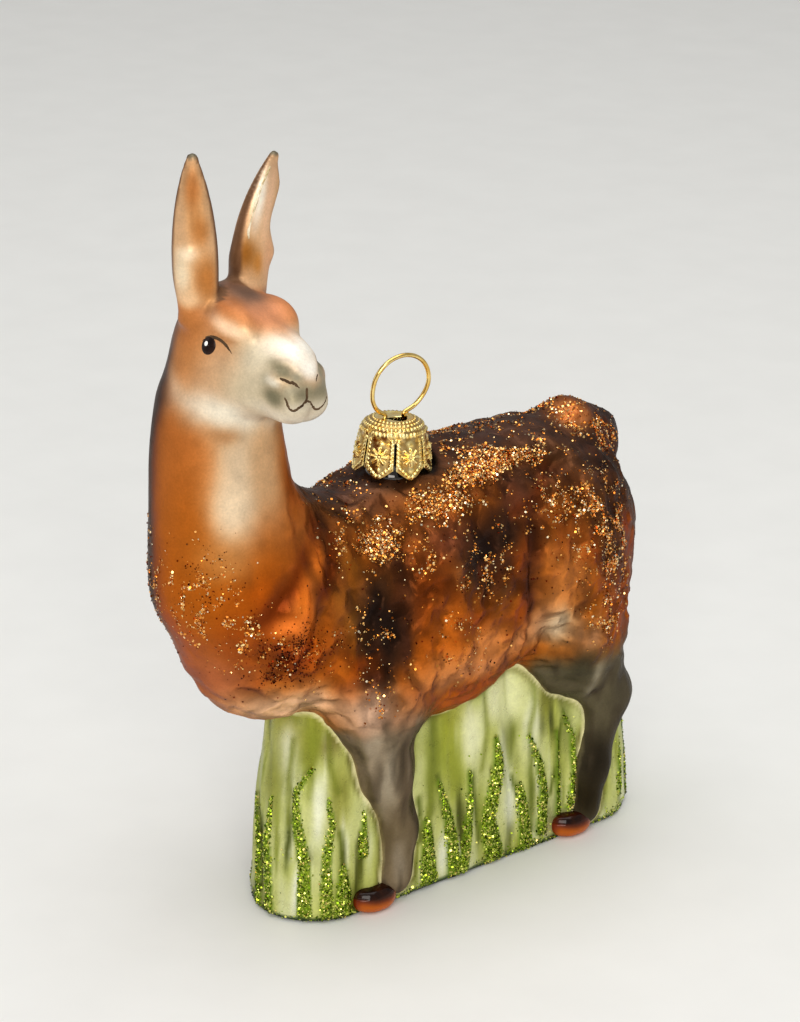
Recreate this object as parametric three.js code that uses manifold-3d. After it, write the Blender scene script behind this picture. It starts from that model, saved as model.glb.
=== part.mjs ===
// Llama Christmas ornament: mould-blown glass, standing over a relief block of grass, with an embossed
// crown cap and a wire hanging loop. Millimetres, +Z up, origin on the floor under the middle of the block.
// The llama looks along -Y, its left side is +X, and its head is turned to its own left.
import * as THREE from 'three';
import { mergeVertices } from 'three/addons/utils/BufferGeometryUtils.js';
import Module from 'manifold-3d';

const wasm = await Module();
wasm.setup();

// ---------------------------------------------------------------- driving dimensions (mm, degrees)
const GAP = 0.3;                       // parting gap between neighbouring solids
const HALF_GAP = GAP / 2;

const SKULL_CENTRE = [-1.0, -38.0, 89.3];
const HEAD_YAW = 6;                    // from +X toward +Y
const HEAD_ROLL = 5;                   // its right side raised
const HEAD_PITCH = 14;                 // muzzle lowered
const NECK_TOP = 80.2;                 // where the head is parted from the neck
const NECK_FOOT = { point: [0, -38, 60], normal: [0, -0.42, 0.9] };

const EAR = { halfWidth: 3.1, thickness: 0.6, peak: 0.3, tip: 0.38, root: 0.1 };
const EARS = {
  right: { side: 1, base: [0.6, 4.9, 3.6], tip: [1.2, 7.6, 25.0], face: [0.7, 0.72], bow: 0 },
  left: { side: -1, base: [0.6, 4.1, 4.6], tip: [1.4, 7.2, 23.9], face: [0.97, 0.05], bow: 1.1 },
};
const EAR_BLOCK = { width: 7.4, depth: 6.4, length: 30 };
const EAR_LOFT = { rings: 14, sides: 11, start: -0.05 };

const EYE = { along: 5.8, up: 1.4, radius: 1.3, bulge: 0.42 };

const TAIL = { root: [0, 24.2, 61.0], tip: [0, 29.0, 59.2], rootRadius: 5.2, tipRadius: 4.4 };
const TAIL_PLUG = { start: 1.6, radius: 5.1, length: 16 };

const LEG_TOP = { height: 24.5, slope: 0.3 };   // the legs are parted from the trunk under this roof

const HOOF = { height: 1.9, front: [8.6, -19.8], hind: [8.4, 18.6], radii: [2.6, 4.0, 2.6] };

const GRASS = {
  halfWidth: 9.3, halfWidthTop: 8.3, front: -33.0, frontTop: -29.6, back: 34.4, backTop: 32.6,
  taper: 26, top: 31.5, topSlope: -0.12, foot: 0.7,
};

const CAP_FOOT = [1.0, -9.84, 64.16];  // centre of the skirt's lower edge
const CAP_LEAN = 3.7;                  // leans toward the tail
const CAP = {
  wall: 0.4, height: 7.2, skirtRadius: 5.45, shoulderRadius: 4.4, shoulder: 5.5, ringRadius: 3.3,
  ringHeight: 6.6, discRadius: 2.6, petals: 7, firstSlit: -35.3, segments: 35,
};
const SLIT = { halfWidth: 0.1, top: 4.4, mouth: 2.0, mouthTop: 1.5, from: 3.9, depth: 2.6 };
const SEAT = { radius: 6.2, drop: 0.4, segments: 24 };
const NECK_TUBE = { outer: 3.6, inner: 2.85, top: 5.2, sunk: 1.2, segments: 20 };

const LOOP = {
  radius: 4.6, wire: 0.65, centreHeight: 4.46, centreShift: 0.48, lean: 7.5, turn: -7,
  feet: 1.6, prongLength: 5.6, prongSpread: 2.0, steps: 30, sides: 6,
};
const LOOP_HOLE = { across: 1.35, along: 1.3 };

// grid cell used for each moulded part: finer where the form is smaller
const CELL = { trunk: 4.5, neck: 3.5, head: 2.4, leg: 2.5, tail: 2.8 };

// ---------------------------------------------------------------- small vector helpers
const rad = THREE.MathUtils.degToRad;
const sub = (a, b) => [a[0] - b[0], a[1] - b[1], a[2] - b[2]];
const add = (a, b) => [a[0] + b[0], a[1] + b[1], a[2] + b[2]];
const scale = (a, k) => [a[0] * k, a[1] * k, a[2] * k];
const dot = (a, b) => a[0] * b[0] + a[1] * b[1] + a[2] * b[2];
const cross = (a, b) => [a[1] * b[2] - a[2] * b[1], a[2] * b[0] - a[0] * b[2], a[0] * b[1] - a[1] * b[0]];
const length = (a) => Math.sqrt(dot(a, a));
const unit = (a) => scale(a, 1 / length(a));
const clamp01 = (t) => Math.min(Math.max(t, 0), 1);
const smooth = (t) => t * t * (3 - 2 * t);

/** Local axes of the head: forward (to the muzzle), side (its right), up. */
function headAxes(pitchDegrees) {
  const yaw = rad(HEAD_YAW);
  const roll = rad(HEAD_ROLL);
  const pitch = rad(pitchDegrees);
  const level = [Math.cos(yaw), Math.sin(yaw), 0];
  const right = [Math.sin(yaw), -Math.cos(yaw), 0];
  const side = add(scale(right, Math.cos(roll)), [0, 0, Math.sin(roll)]);
  const rise = sub([0, 0, Math.cos(roll)], scale(right, Math.sin(roll)));
  const forward = sub(scale(level, Math.cos(pitch)), scale(rise, Math.sin(pitch)));
  const up = add(scale(rise, Math.cos(pitch)), scale(level, Math.sin(pitch)));
  return [forward, side, up];
}
const HEAD_AXES = headAxes(HEAD_PITCH);
const EAR_AXES = headAxes(0);
const toLocal = (p, origin, axes) => axes.map((axis) => dot(sub(p, origin), axis));
const toWorld = (q, origin, axes) =>
  add(origin, add(scale(axes[0], q[0]), add(scale(axes[1], q[1]), scale(axes[2], q[2]))));

// ---------------------------------------------------------------- rounded forms (negative inside)
/** Ellipsoid with its axes along the given frame's. */
function ellipsoid(p, centre, radii) {
  const q = sub(p, centre);
  const near = length([q[0] / radii[0], q[1] / radii[1], q[2] / radii[2]]);
  const steep = length([q[0] / radii[0] ** 2, q[1] / radii[1] ** 2, q[2] / radii[2] ** 2]);
  return (near * (near - 1)) / Math.max(steep, 1e-6);
}

/** Limb segment: a cone with round ends, from radius ra at a to rb at b. */
function limb(p, a, b, ra, rb) {
  const axis = sub(b, a);
  const l2 = dot(axis, axis);
  const taper = ra - rb;
  const a2 = l2 - taper * taper;
  const q = sub(p, a);
  const y = dot(q, axis);
  const z = y - l2;
  const v = sub(scale(q, l2), scale(axis, y));
  const x2 = dot(v, v);
  const y2 = y * y * l2;
  const z2 = z * z * l2;
  const k = Math.sign(taper) * taper * taper * x2;
  if (Math.sign(z) * a2 * z2 > k) return Math.sqrt(x2 + z2) / l2 - rb;
  if (Math.sign(y) * a2 * y2 < k) return Math.sqrt(x2 + y2) / l2 - ra;
  return (Math.sqrt(x2 * a2 / l2) + y * taper) / l2 - ra;
}

/** Join of two forms with a fillet of about k. */
function blend(a, b, k) {
  const h = Math.max(k - Math.abs(a - b), 0) / k;
  return Math.min(a, b) - (h * h * k) / 4;
}
/** Common part of two forms with its edge eased by about k. */
const blendMax = (a, b, k) => -blend(-a, -b, k);

// ---------------------------------------------------------------- the animal
function headForm(p) {
  const q = toLocal(p, SKULL_CENTRE, HEAD_AXES);
  const pair = [q[0], Math.abs(q[1]), q[2]];
  let d = ellipsoid(q, [1.1, 0, -0.6], [6.8, 6.15, 7.6]);             // skull
  d = blend(d, ellipsoid(q, [7.2, 0, -0.1], [9.4, 5.5, 6.0]), 4);      // face
  d = blend(d, ellipsoid(q, [14.2, 0, -0.4], [5.0, 4.5, 4.2]), 3);     // muzzle
  d = blend(d, ellipsoid(pair, [16.9, 1.9, -2.1], [2.7, 2.3, 2.3]), 1.2);   // split upper lip
  d = blend(d, ellipsoid(q, [11.8, 0, -3.4], [6.8, 3.7, 2.3]), 2.5);   // lower jaw
  d = blend(d, ellipsoid(pair, [5.2, 2.8, -2.2], [8.0, 3.9, 5.2]), 3); // cheek
  return blend(d, ellipsoid(pair, [6.0, 3.8, 4.3], [3.8, 2.2, 2.6]), 1.8);  // brow
}

/** Centre line and width direction of an ear, in the level head frame. */
function earFrame({ side, base, tip, face }) {
  const root = [base[0], base[1] * side, base[2]];
  const span = sub([tip[0], tip[1] * side, tip[2]], root);
  const axis = unit(span);
  const flat = [face[0], face[1] * side, 0];
  const normal = unit(sub(flat, scale(axis, dot(flat, axis))));
  return { root, axis, normal, across: cross(normal, axis), span: length(span) };
}
const EAR_FRAMES = { right: earFrame(EARS.right), left: earFrame(EARS.left) };

/** Half width and half thickness of an ear's oval section at t of its length, and its sideways bow. */
function earSection(t, name) {
  const narrowing = (1 - (Math.max(t - EAR.peak, 0) / (1 - EAR.peak)) ** 2) ** 0.85;
  const waist = 1 - 0.12 * (Math.max(EAR.peak - t, 0) / EAR.peak) ** 2;
  const halfWidth = (EAR.halfWidth - EAR.tip) * narrowing * waist + EAR.tip;
  const halfThick = Math.max(halfWidth * (EAR.thickness + 0.3 * (1 - t) ** 3), EAR.tip);
  return { halfWidth, halfThick, bow: EARS[name].bow * Math.sin(Math.PI * t) };
}

function earForm(p, name) {
  const { root, axis, normal, across, span } = EAR_FRAMES[name];
  const q = sub(toLocal(p, SKULL_CENTRE, EAR_AXES), root);
  const along = dot(q, axis);
  const { halfWidth, halfThick, bow } = earSection(clamp01(along / span), name);
  const w = dot(q, across) + bow;
  const n = dot(q, normal);
  const near = Math.hypot(w / halfWidth, n / halfThick);
  const steep = Math.hypot(w / halfWidth ** 2, n / halfThick ** 2);
  const section = (near * (near - 1)) / Math.max(steep, 1e-6);
  return blendMax(blendMax(section * 0.7, along - span, 0.4), -along - 2, 1);
}

function neckForm(p) {
  const rise = smooth(clamp01((p[2] - 50) / 34));
  const nape = clamp01((p[2] - 70) / 22) ** 2;
  const y = p[1] - (-37.5 - 2.1 * rise + 2.6 * nape);
  const rx = 10.9 - 3.0 * rise;
  const front = 11.9 - 2.3 * rise - 2.6 * nape;
  const ry = y > 0 ? front * 0.88 : front;
  const near = Math.hypot(p[0] / rx, y / ry);
  const steep = Math.hypot(p[0] / rx ** 2, y / ry ** 2);
  const column = (near * (near - 1)) / Math.max(steep, 1e-6);
  return blendMax(column * 0.95, Math.abs(p[2] - 67.5) - 20.5, 8);
}

const BARREL_TILT = rad(-6);
function trunkForm(p) {
  const pair = [Math.abs(p[0]), p[1], p[2]];
  const c = Math.cos(BARREL_TILT);
  const s = Math.sin(BARREL_TILT);
  const q = sub(p, [0, -3, 46]);
  const tilted = [q[0], c * q[1] - s * q[2], s * q[1] + c * q[2]];
  let d = ellipsoid(tilted, [0, 0.2, 0.3], [15.7, 30.2, 18.9]);        // barrel
  d = blend(d, ellipsoid(p, [0, -31.2, 48.2], [12.3, 14.6, 16.7]), 6); // chest
  d = blend(d, ellipsoid(p, [0, 16.8, 46.9], [15.6, 16.2, 17.7]), 5);  // rump
  d = blend(d, ellipsoid(pair, [7.0, -8, 37.5], [8.0, 15, 10]), 4);    // belly
  d = blend(d, ellipsoid(pair, [8.6, -19, 38], [6, 9.5, 11]), 4);      // shoulder
  return blend(d, ellipsoid(pair, [7.6, 18.4, 36.3], [5.9, 9.9, 13.2]), 4);  // haunch
}

function frontLegForm(pair) {
  let d = limb(pair, [9.3, -19.5, 35], [8.4, -18, 21], 6.0, 3.9);
  d = blend(d, limb(pair, [8.4, -17.4, 22], [8.3, -15.1, 11], 3.9, 2.9), 3);
  return blend(d, limb(pair, [8.3, -15.1, 11], [8.3, -15.9, 4.3], 2.9, 3.1), 2);
}

function hindLegForm(pair) {
  let d = limb(pair, [8.8, 18.1, 34], [8.4, 25.4, 21.5], 6.4, 3.4);
  d = blend(d, limb(pair, [8.4, 25.0, 22], [8.2, 22.6, 10], 3.6, 2.8), 3);
  return blend(d, limb(pair, [8.2, 22.6, 10], [8.0, 21.3, 3.5], 2.8, 3.0), 2);
}

/** The whole llama, without hooves and grass. */
function llamaForm(p) {
  const pair = [Math.abs(p[0]), p[1], p[2]];
  let d = blend(trunkForm(p), neckForm(p), 4.5);
  d = blend(d, headForm(p), 3);
  d = blend(d, earForm(p, 'right'), 1.2);
  d = blend(d, earForm(p, 'left'), 1.2);
  d = blend(d, limb(p, TAIL.root, TAIL.tip, TAIL.rootRadius, TAIL.tipRadius), 2.5);
  d = blend(d, frontLegForm(pair), 4);
  return blend(d, hindLegForm(pair), 4);
}

// ---------------------------------------------------------------- faceting a form
function slopeOf(form, p) {
  const e = 0.02;
  const along = (axis) => {
    const step = [0, 0, 0];
    step[axis] = e;
    return (form(add(p, step)) - form(sub(p, step))) / (2 * e);
  };
  return [along(0), along(1), along(2)];
}

/** Closed faceted skin of a form inside a box, one vertex to each crossed cell, lying on the form. */
function facet(form, low, high, cell) {
  const count = low.map((start, axis) => Math.ceil((high[axis] - start) / cell) + 1);
  const stride = [1, count[0], count[0] * count[1]];
  const at = (i, j, k) => i + j * stride[1] + k * stride[2];
  const corner = (i, j, k) => [low[0] + i * cell, low[1] + j * cell, low[2] + k * cell];
  const onRim = (index, axis) => index === 0 || index === count[axis] - 1;
  const value = new Float64Array(count[0] * count[1] * count[2]);
  for (let k = 0; k < count[2]; k += 1) {
    for (let j = 0; j < count[1]; j += 1) {
      for (let i = 0; i < count[0]; i += 1) {
        const rim = onRim(i, 0) || onRim(j, 1) || onRim(k, 2);
        const d = form(corner(i, j, k));
        value[at(i, j, k)] = rim ? Math.max(d, cell / 2) : d;
      }
    }
  }
  const positions = [];
  const vertexOf = new Map();
  const cellVertex = (i, j, k) => {
    const id = at(i, j, k);
    if (vertexOf.has(id)) return vertexOf.get(id);
    let sum = [0, 0, 0];
    let crossings = 0;
    for (let edge = 0; edge < 12; edge += 1) {
      const axis = edge >> 2;
      const a = [i, j, k];
      a[(axis + 1) % 3] += edge & 1;
      a[(axis + 2) % 3] += (edge >> 1) & 1;
      const va = value[at(...a)];
      const vb = value[at(...a) + stride[axis]];
      if ((va < 0) !== (vb < 0)) {
        const cut = corner(...a);
        cut[axis] += (cell * va) / (va - vb);
        sum = add(sum, cut);
        crossings += 1;
      }
    }
    let p = scale(sum, 1 / crossings);
    const index = [i, j, k];
    const inside = index.every((n, axis) => n > 0 && n < count[axis] - 2);
    const lowest = corner(i, j, k);
    for (let round = 0; inside && round < 4; round += 1) {
      const slope = slopeOf(form, p);
      p = sub(p, scale(slope, form(p) / Math.max(dot(slope, slope), 0.05)));
      p = p.map((x, axis) => Math.min(Math.max(x, lowest[axis]), lowest[axis] + cell));
    }
    positions.push(...p);
    vertexOf.set(id, positions.length / 3 - 1);
    return positions.length / 3 - 1;
  };
  const faces = [];
  const point = (n) => positions.slice(3 * n, 3 * n + 3);
  const span = (a, b) => length(sub(point(a), point(b)));
  for (let axis = 0; axis < 3; axis += 1) {
    const b = (axis + 1) % 3;
    const c = (axis + 2) % 3;
    const last = count.map((n) => n - 1);
    for (let k = c === 2 || b === 2 ? 1 : 0; k < last[2]; k += 1) {
      for (let j = c === 1 || b === 1 ? 1 : 0; j < last[1]; j += 1) {
        for (let i = c === 0 || b === 0 ? 1 : 0; i < last[0]; i += 1) {
          const here = value[at(i, j, k)] < 0;
          const next = value[at(i, j, k) + stride[axis]] < 0;
          if (here === next) continue;
          const ring = [[0, 0], [-1, 0], [-1, -1], [0, -1]].map(([db, dc]) => {
            const cellAt = [i, j, k];
            cellAt[b] += db;
            cellAt[c] += dc;
            return cellVertex(...cellAt);
          });
          if (!here) ring.reverse();
          const [p, q, r, s] = ring;
          if (span(p, r) < span(q, s)) faces.push(p, q, r, p, r, s);
          else faces.push(p, q, s, q, r, s);
        }
      }
    }
  }
  const geometry = new THREE.BufferGeometry();
  geometry.setAttribute('position', new THREE.Float32BufferAttribute(positions, 3));
  geometry.setIndex(faces);
  return geometry;
}

// ---------------------------------------------------------------- solids: joining and cutting
function signedVolume(position, index) {
  let volume = 0;
  for (let f = 0; f < index.length; f += 3) {
    const [a, b, c] = [0, 1, 2].map((n) => [0, 1, 2].map((m) => position[3 * index[f + n] + m]));
    volume += dot(a, cross(b, c)) / 6;
  }
  return volume;
}

/** A solid from a closed geometry, wound outward. */
function solid(geometry) {
  const bare = new THREE.BufferGeometry();
  bare.setAttribute('position', geometry.getAttribute('position').clone());
  if (geometry.index) bare.setIndex(geometry.index);
  const welded = mergeVertices(bare, 1e-4);
  const position = welded.getAttribute('position').array;
  const raw = welded.index.array;
  const index = [];
  for (let f = 0; f < raw.length; f += 3) {
    const [a, b, c] = [raw[f], raw[f + 1], raw[f + 2]];
    if (a !== b && b !== c && c !== a) index.push(a, b, c);
  }
  const outward = signedVolume(position, index) > 0;
  for (let f = 0; !outward && f < index.length; f += 3) {
    [index[f + 1], index[f + 2]] = [index[f + 2], index[f + 1]];
  }
  const triVerts = Uint32Array.from(index);
  const vertProperties = Float32Array.from(position);
  return new wasm.Manifold(new wasm.Mesh({ numProp: 3, vertProperties, triVerts }));
}

function geometryOf(body) {
  const mesh = body.getMesh();
  const geometry = new THREE.BufferGeometry();
  geometry.setAttribute('position', new THREE.BufferAttribute(Float32Array.from(mesh.vertProperties), 3));
  geometry.setIndex(new THREE.BufferAttribute(Uint32Array.from(mesh.triVerts), 1));
  geometry.computeVertexNormals();
  return geometry;
}

/** Solid through a stack of rings that have the same number of points. */
function loft(rings) {
  const size = rings[0].length;
  const faces = [];
  for (let level = 0; level + 1 < rings.length; level += 1) {
    for (let n = 0; n < size; n += 1) {
      const a = level * size + n;
      const b = level * size + ((n + 1) % size);
      faces.push(a, b, b + size, a, b + size, a + size);
    }
  }
  const top = (rings.length - 1) * size;
  for (let n = 1; n + 1 < size; n += 1) faces.push(0, n + 1, n, top, top + n, top + n + 1);
  const geometry = new THREE.BufferGeometry();
  geometry.setAttribute('position', new THREE.Float32BufferAttribute(rings.flat(2), 3));
  geometry.setIndex(faces);
  return solid(geometry);
}

/** A geometry made along +Z is turned onto an axis and moved. */
function aim(geometry, axis, origin) {
  const up = new THREE.Vector3(0, 0, 1);
  const turn = new THREE.Quaternion().setFromUnitVectors(up, new THREE.Vector3(...axis));
  return geometry.applyQuaternion(turn).translate(...origin);
}

const FAR = 300;
const SINK_LENGTH = 10;
/** The solid without everything beyond a plane. */
function trim(body, point, normal) {
  const axis = unit(normal);
  const block = aim(new THREE.BoxGeometry(FAR, FAR, FAR).translate(0, 0, FAR / 2), axis, point);
  return body.subtract(solid(block));
}
const beyond = (point, normal, distance) => add(point, scale(unit(normal), distance));
const flip = (v) => scale(v, -1);

// ---------------------------------------------------------------- head, ears, eyes
/** Block round an ear above its root, used to part the ear from the head. */
function earBlock(name, grow) {
  const { root, axis, normal, across, span } = EAR_FRAMES[name];
  const middle = EAR.root * span - grow + EAR_BLOCK.length / 2;
  const { width, depth } = EAR_BLOCK;
  const block = new THREE.BoxGeometry(width + 2 * grow, depth + 2 * grow, EAR_BLOCK.length);
  const inWorld = (v) => toWorld(v, [0, 0, 0], EAR_AXES);
  const centre = toWorld(add(root, scale(axis, middle)), SKULL_CENTRE, EAR_AXES);
  const columns = [across, flip(normal), axis].map((v) => new THREE.Vector3(...inWorld(v)));
  const turn = new THREE.Matrix4().makeBasis(...columns).setPosition(...centre);
  return solid(block.applyMatrix4(turn));
}

/** Blade of an ear: oval rings along its axis, from inside the head to the tip's small knob. */
function ear(name) {
  const { root, axis, normal, across, span } = EAR_FRAMES[name];
  const { rings, sides, start } = EAR_LOFT;
  const levels = Array.from({ length: rings }, (_, n) => start + ((1 - start) * n) / (rings - 1));
  const points = levels.map((t) => {
    const { halfWidth, halfThick, bow } = earSection(clamp01(t), name);
    return Array.from({ length: sides }, (_, n) => {
      const angle = (2 * Math.PI * n) / sides;
      const w = halfWidth * Math.cos(angle) - bow;
      const q = add(scale(across, w), scale(normal, halfThick * Math.sin(angle)));
      return toWorld(add(root, add(scale(axis, t * span), q)), SKULL_CENTRE, EAR_AXES);
    });
  });
  return loft(points).intersect(earBlock(name, 0));
}

/** Lens-shaped eye lying on the side of the head. */
function eye(side, grow) {
  let inside = 0;
  let outside = 12;
  const at = (reach) => toWorld([EYE.along, side * reach, EYE.up], SKULL_CENTRE, HEAD_AXES);
  for (let halving = 0; halving < 30; halving += 1) {
    const middle = (inside + outside) / 2;
    if (llamaForm(at(middle)) < 0) inside = middle;
    else outside = middle;
  }
  const centre = at(inside);
  const lens = new THREE.SphereGeometry(1, 10, 7);
  lens.scale(EYE.radius + grow, EYE.radius + grow, EYE.bulge + grow);
  return solid(aim(lens, unit(slopeOf(llamaForm, centre)), centre));
}

function head() {
  let body = solid(facet(llamaForm, [-12, -52, 77], [21, -24, 99.5], CELL.head));
  body = trim(body, [0, 0, NECK_TOP + HALF_GAP], [0, 0, -1]);
  body = body.subtract(earBlock('right', GAP)).subtract(earBlock('left', GAP));
  return body.subtract(eye(1, GAP)).subtract(eye(-1, GAP));
}

function neck() {
  const body = solid(facet(llamaForm, [-14, -55, 48], [14, -20, 85], CELL.neck));
  const lower = trim(body, [0, 0, NECK_TOP - HALF_GAP], [0, 0, 1]);
  return trim(lower, beyond(NECK_FOOT.point, NECK_FOOT.normal, HALF_GAP), flip(NECK_FOOT.normal));
}

// ---------------------------------------------------------------- trunk, tail, legs, hooves
function tailPlug(grow) {
  const axis = unit(sub(TAIL.tip, TAIL.root));
  const radius = TAIL_PLUG.radius + grow;
  const plug = new THREE.CylinderGeometry(radius, radius, TAIL_PLUG.length, 20);
  plug.rotateX(Math.PI / 2).translate(0, 0, TAIL_PLUG.start - grow + TAIL_PLUG.length / 2);
  return solid(aim(plug, axis, TAIL.root));
}

function tail() {
  return solid(facet(llamaForm, [-8, 19, 49], [8, 38, 70], CELL.tail)).intersect(tailPlug(0));
}

/** Everything under the roof-shaped parting between trunk and legs. */
function underRoof(shift) {
  const reach = 40;
  const ridge = LEG_TOP.height + shift;
  const eaves = ridge + LEG_TOP.slope * reach;
  const shape = new THREE.Shape();
  shape.moveTo(0, ridge);
  shape.lineTo(-reach, eaves);
  shape.lineTo(-reach, -reach);
  shape.lineTo(reach, -reach);
  shape.lineTo(reach, eaves);
  const prism = new THREE.ExtrudeGeometry(shape, { depth: 4 * reach, bevelEnabled: false, steps: 1 });
  return solid(prism.translate(0, 0, -2 * reach).rotateX(Math.PI / 2));
}

const CAP_AXIS = [0, Math.sin(rad(CAP_LEAN)), Math.cos(rad(CAP_LEAN))];
/** Round space about the cap's axis, open upward from the given height. */
function sinking(radius, floor, segments) {
  const space = new THREE.CylinderGeometry(radius, radius, SINK_LENGTH, segments);
  space.rotateX(Math.PI / 2).translate(0, 0, floor + SINK_LENGTH / 2);
  return solid(aim(space, CAP_AXIS, CAP_FOOT));
}

function trunk() {
  let body = solid(facet(llamaForm, [-20, -54, 21], [20, 38, 78], CELL.trunk));
  body = trim(body, beyond(NECK_FOOT.point, NECK_FOOT.normal, -HALF_GAP), NECK_FOOT.normal);
  body = body.subtract(underRoof(HALF_GAP));
  const { outer, sunk, segments } = NECK_TUBE;
  body = body.subtract(tailPlug(GAP));
  body = body.subtract(sinking(SEAT.radius, -SEAT.drop, SEAT.segments));
  return body.subtract(sinking(outer + GAP, -SEAT.drop - sunk - GAP, segments));
}

function hoof(side, place, grow) {
  const ball = new THREE.SphereGeometry(1, 11, 6).rotateX(Math.PI / 2);
  ball.scale(...HOOF.radii.map((r) => r + grow)).translate(side * place[0], place[1], HOOF.height);
  return trim(solid(ball), [0, 0, 0], [0, 0, -1]);
}

/** One leg below the trunk, hoof and all, swollen by grow. */
function limbUnderRoof(side, place, grow) {
  const span = side > 0 ? [0, 20] : [-20, 0];
  const reach = place[1] < 0 ? [-38, 0] : [6, 38];
  const swollen = (p) => llamaForm(p) - grow;
  const body = solid(facet(swollen, [span[0], reach[0], -2], [span[1], reach[1], 32], CELL.leg));
  const lower = body.intersect(underRoof(grow - HALF_GAP));
  return trim(lower, [side * (HALF_GAP - grow), 0, 0], [-side, 0, 0]);
}

function leg(side, place) {
  return limbUnderRoof(side, place, 0).subtract(hoof(side, place, GAP));
}

// ---------------------------------------------------------------- the block of grass
/** Rounded-end block, leaning in as it rises, with an eased lower edge. */
function grassBlock() {
  const turnSteps = 12;
  const ring = (height, inset) => {
    const t = clamp01(height / GRASS.taper);
    const mix = (a, b) => a + (b - a) * t;
    const half = mix(GRASS.halfWidth, GRASS.halfWidthTop) - inset;
    const front = mix(GRASS.front, GRASS.frontTop) + inset;
    const back = mix(GRASS.back, GRASS.backTop) - inset;
    const points = [];
    for (const [centre, start] of [[back - half, 0], [front + half, Math.PI]]) {
      for (let n = 0; n <= turnSteps; n += 1) {
        const angle = start + (Math.PI * n) / turnSteps;
        const y = centre + half * Math.sin(angle);
        const rise = height > GRASS.taper ? GRASS.topSlope * y : 0;
        points.push([half * Math.cos(angle), y, height + rise]);
      }
    }
    return points;
  };
  return loft([ring(0, GRASS.foot), ring(GRASS.foot, 0), ring(GRASS.taper, 0), ring(GRASS.top, 0)]);
}

/** The block with room for the belly, the legs and the hooves. */
function grass(neighbours) {
  let body = grassBlock();
  for (const neighbour of neighbours) {
    body = body.subtract(neighbour).subtract(neighbour.translate(0, 0, -GAP));
  }
  for (const side of [1, -1]) {
    for (const place of [HOOF.front, HOOF.hind]) {
      body = body.subtract(limbUnderRoof(side, place, GAP)).subtract(hoof(side, place, GAP));
    }
  }
  return body;
}

// ---------------------------------------------------------------- glass neck, crown cap, hanging loop
// These are made about the cap's own axis, +Z up from the skirt's lower edge.
const revolve = (profile, segments) => {
  const points = [...profile, profile[0]].map(([r, h]) => new THREE.Vector2(r, h));
  return new THREE.LatheGeometry(points, segments).rotateX(Math.PI / 2);
};

function glassNeck() {
  const { outer, inner, top, sunk, segments } = NECK_TUBE;
  const foot = -SEAT.drop - sunk;
  const rim = 0.2;
  const profile = [[inner, foot], [outer, foot], [outer, top - rim], [outer - rim, top], [inner, top]];
  return solid(revolve(profile, segments));
}

/** Slit between two petals, opening to a notch at the skirt's edge. */
function slit(angle) {
  const { halfWidth, top, mouth, mouthTop, from, depth } = SLIT;
  const shape = new THREE.Shape();
  shape.moveTo(-mouth, -1);
  shape.lineTo(mouth, -1);
  shape.lineTo(mouth, 0);
  shape.lineTo(halfWidth, mouthTop);
  shape.lineTo(halfWidth, top);
  shape.lineTo(-halfWidth, top);
  shape.lineTo(-halfWidth, mouthTop);
  shape.lineTo(-mouth, 0);
  const cutter = new THREE.ExtrudeGeometry(shape, { depth, bevelEnabled: false, steps: 1 });
  cutter.translate(0, 0, from).rotateX(Math.PI / 2).rotateZ(Math.PI / 2 + rad(angle));
  return cutter;
}

function capCrown() {
  const { wall, height, skirtRadius, shoulderRadius, shoulder, ringRadius, ringHeight, discRadius } = CAP;
  const profile = [
    [skirtRadius, 0], [shoulderRadius, shoulder], [ringRadius, ringHeight], [ringRadius, height - 0.15],
    [discRadius, height], [0, height], [0, height - wall], [ringRadius - wall, height - wall],
    [shoulderRadius - wall, shoulder - 0.15], [skirtRadius - wall, 0],
  ];
  let body = solid(revolve(profile, CAP.segments));
  for (let petal = 0; petal < CAP.petals; petal += 1) {
    body = body.subtract(solid(slit(CAP.firstSlit + (360 / CAP.petals) * petal)));
  }
  for (const side of [1, -1]) {
    const hole = new THREE.BoxGeometry(LOOP_HOLE.across, LOOP_HOLE.along, 4);
    hole.translate(0, side * LOOP.feet, height).rotateZ(rad(LOOP.turn));
    body = body.subtract(solid(hole));
  }
  return body;
}

/** Centre line of the wire: a prong, the open ring, the other prong; heights are above the cap's top. */
function loopPath() {
  const { radius, centreHeight, centreShift, lean, feet, prongLength, prongSpread } = LOOP;
  const opening = Math.asin(feet / radius);
  const arcPoints = 14;
  const tilt = (y, h) => [Math.sin(rad(lean)) * Math.max(h, 0), y, h > 0 ? Math.cos(rad(lean)) * h : h];
  const points = [[0, -prongSpread, -prongLength], [0, -feet, -1.4], [0, -feet, -0.4]];
  for (let n = 0; n <= arcPoints; n += 1) {
    const angle = opening + ((2 * Math.PI - 2 * opening) * n) / arcPoints;
    const lift = centreHeight - radius * Math.cos(angle);
    points.push(tilt(-radius * Math.sin(angle) + centreShift * clamp01(lift / centreHeight), lift));
  }
  points.push([0, feet, -0.4], [0, feet, -1.4], [0, prongSpread, -prongLength]);
  return new THREE.CatmullRomCurve3(points.map((p) => new THREE.Vector3(...p)), false, 'centripetal');
}

function hangerLoop() {
  const section = new THREE.Shape();
  for (let n = 0; n < LOOP.sides; n += 1) {
    const angle = (2 * Math.PI * n) / LOOP.sides;
    const corner = [(LOOP.wire / 2) * Math.cos(angle), (LOOP.wire / 2) * Math.sin(angle)];
    if (n === 0) section.moveTo(...corner);
    else section.lineTo(...corner);
  }
  const wire = new THREE.ExtrudeGeometry(section, { steps: LOOP.steps, extrudePath: loopPath() });
  return solid(wire.rotateZ(rad(LOOP.turn)).translate(0, 0, CAP.height));
}

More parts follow.
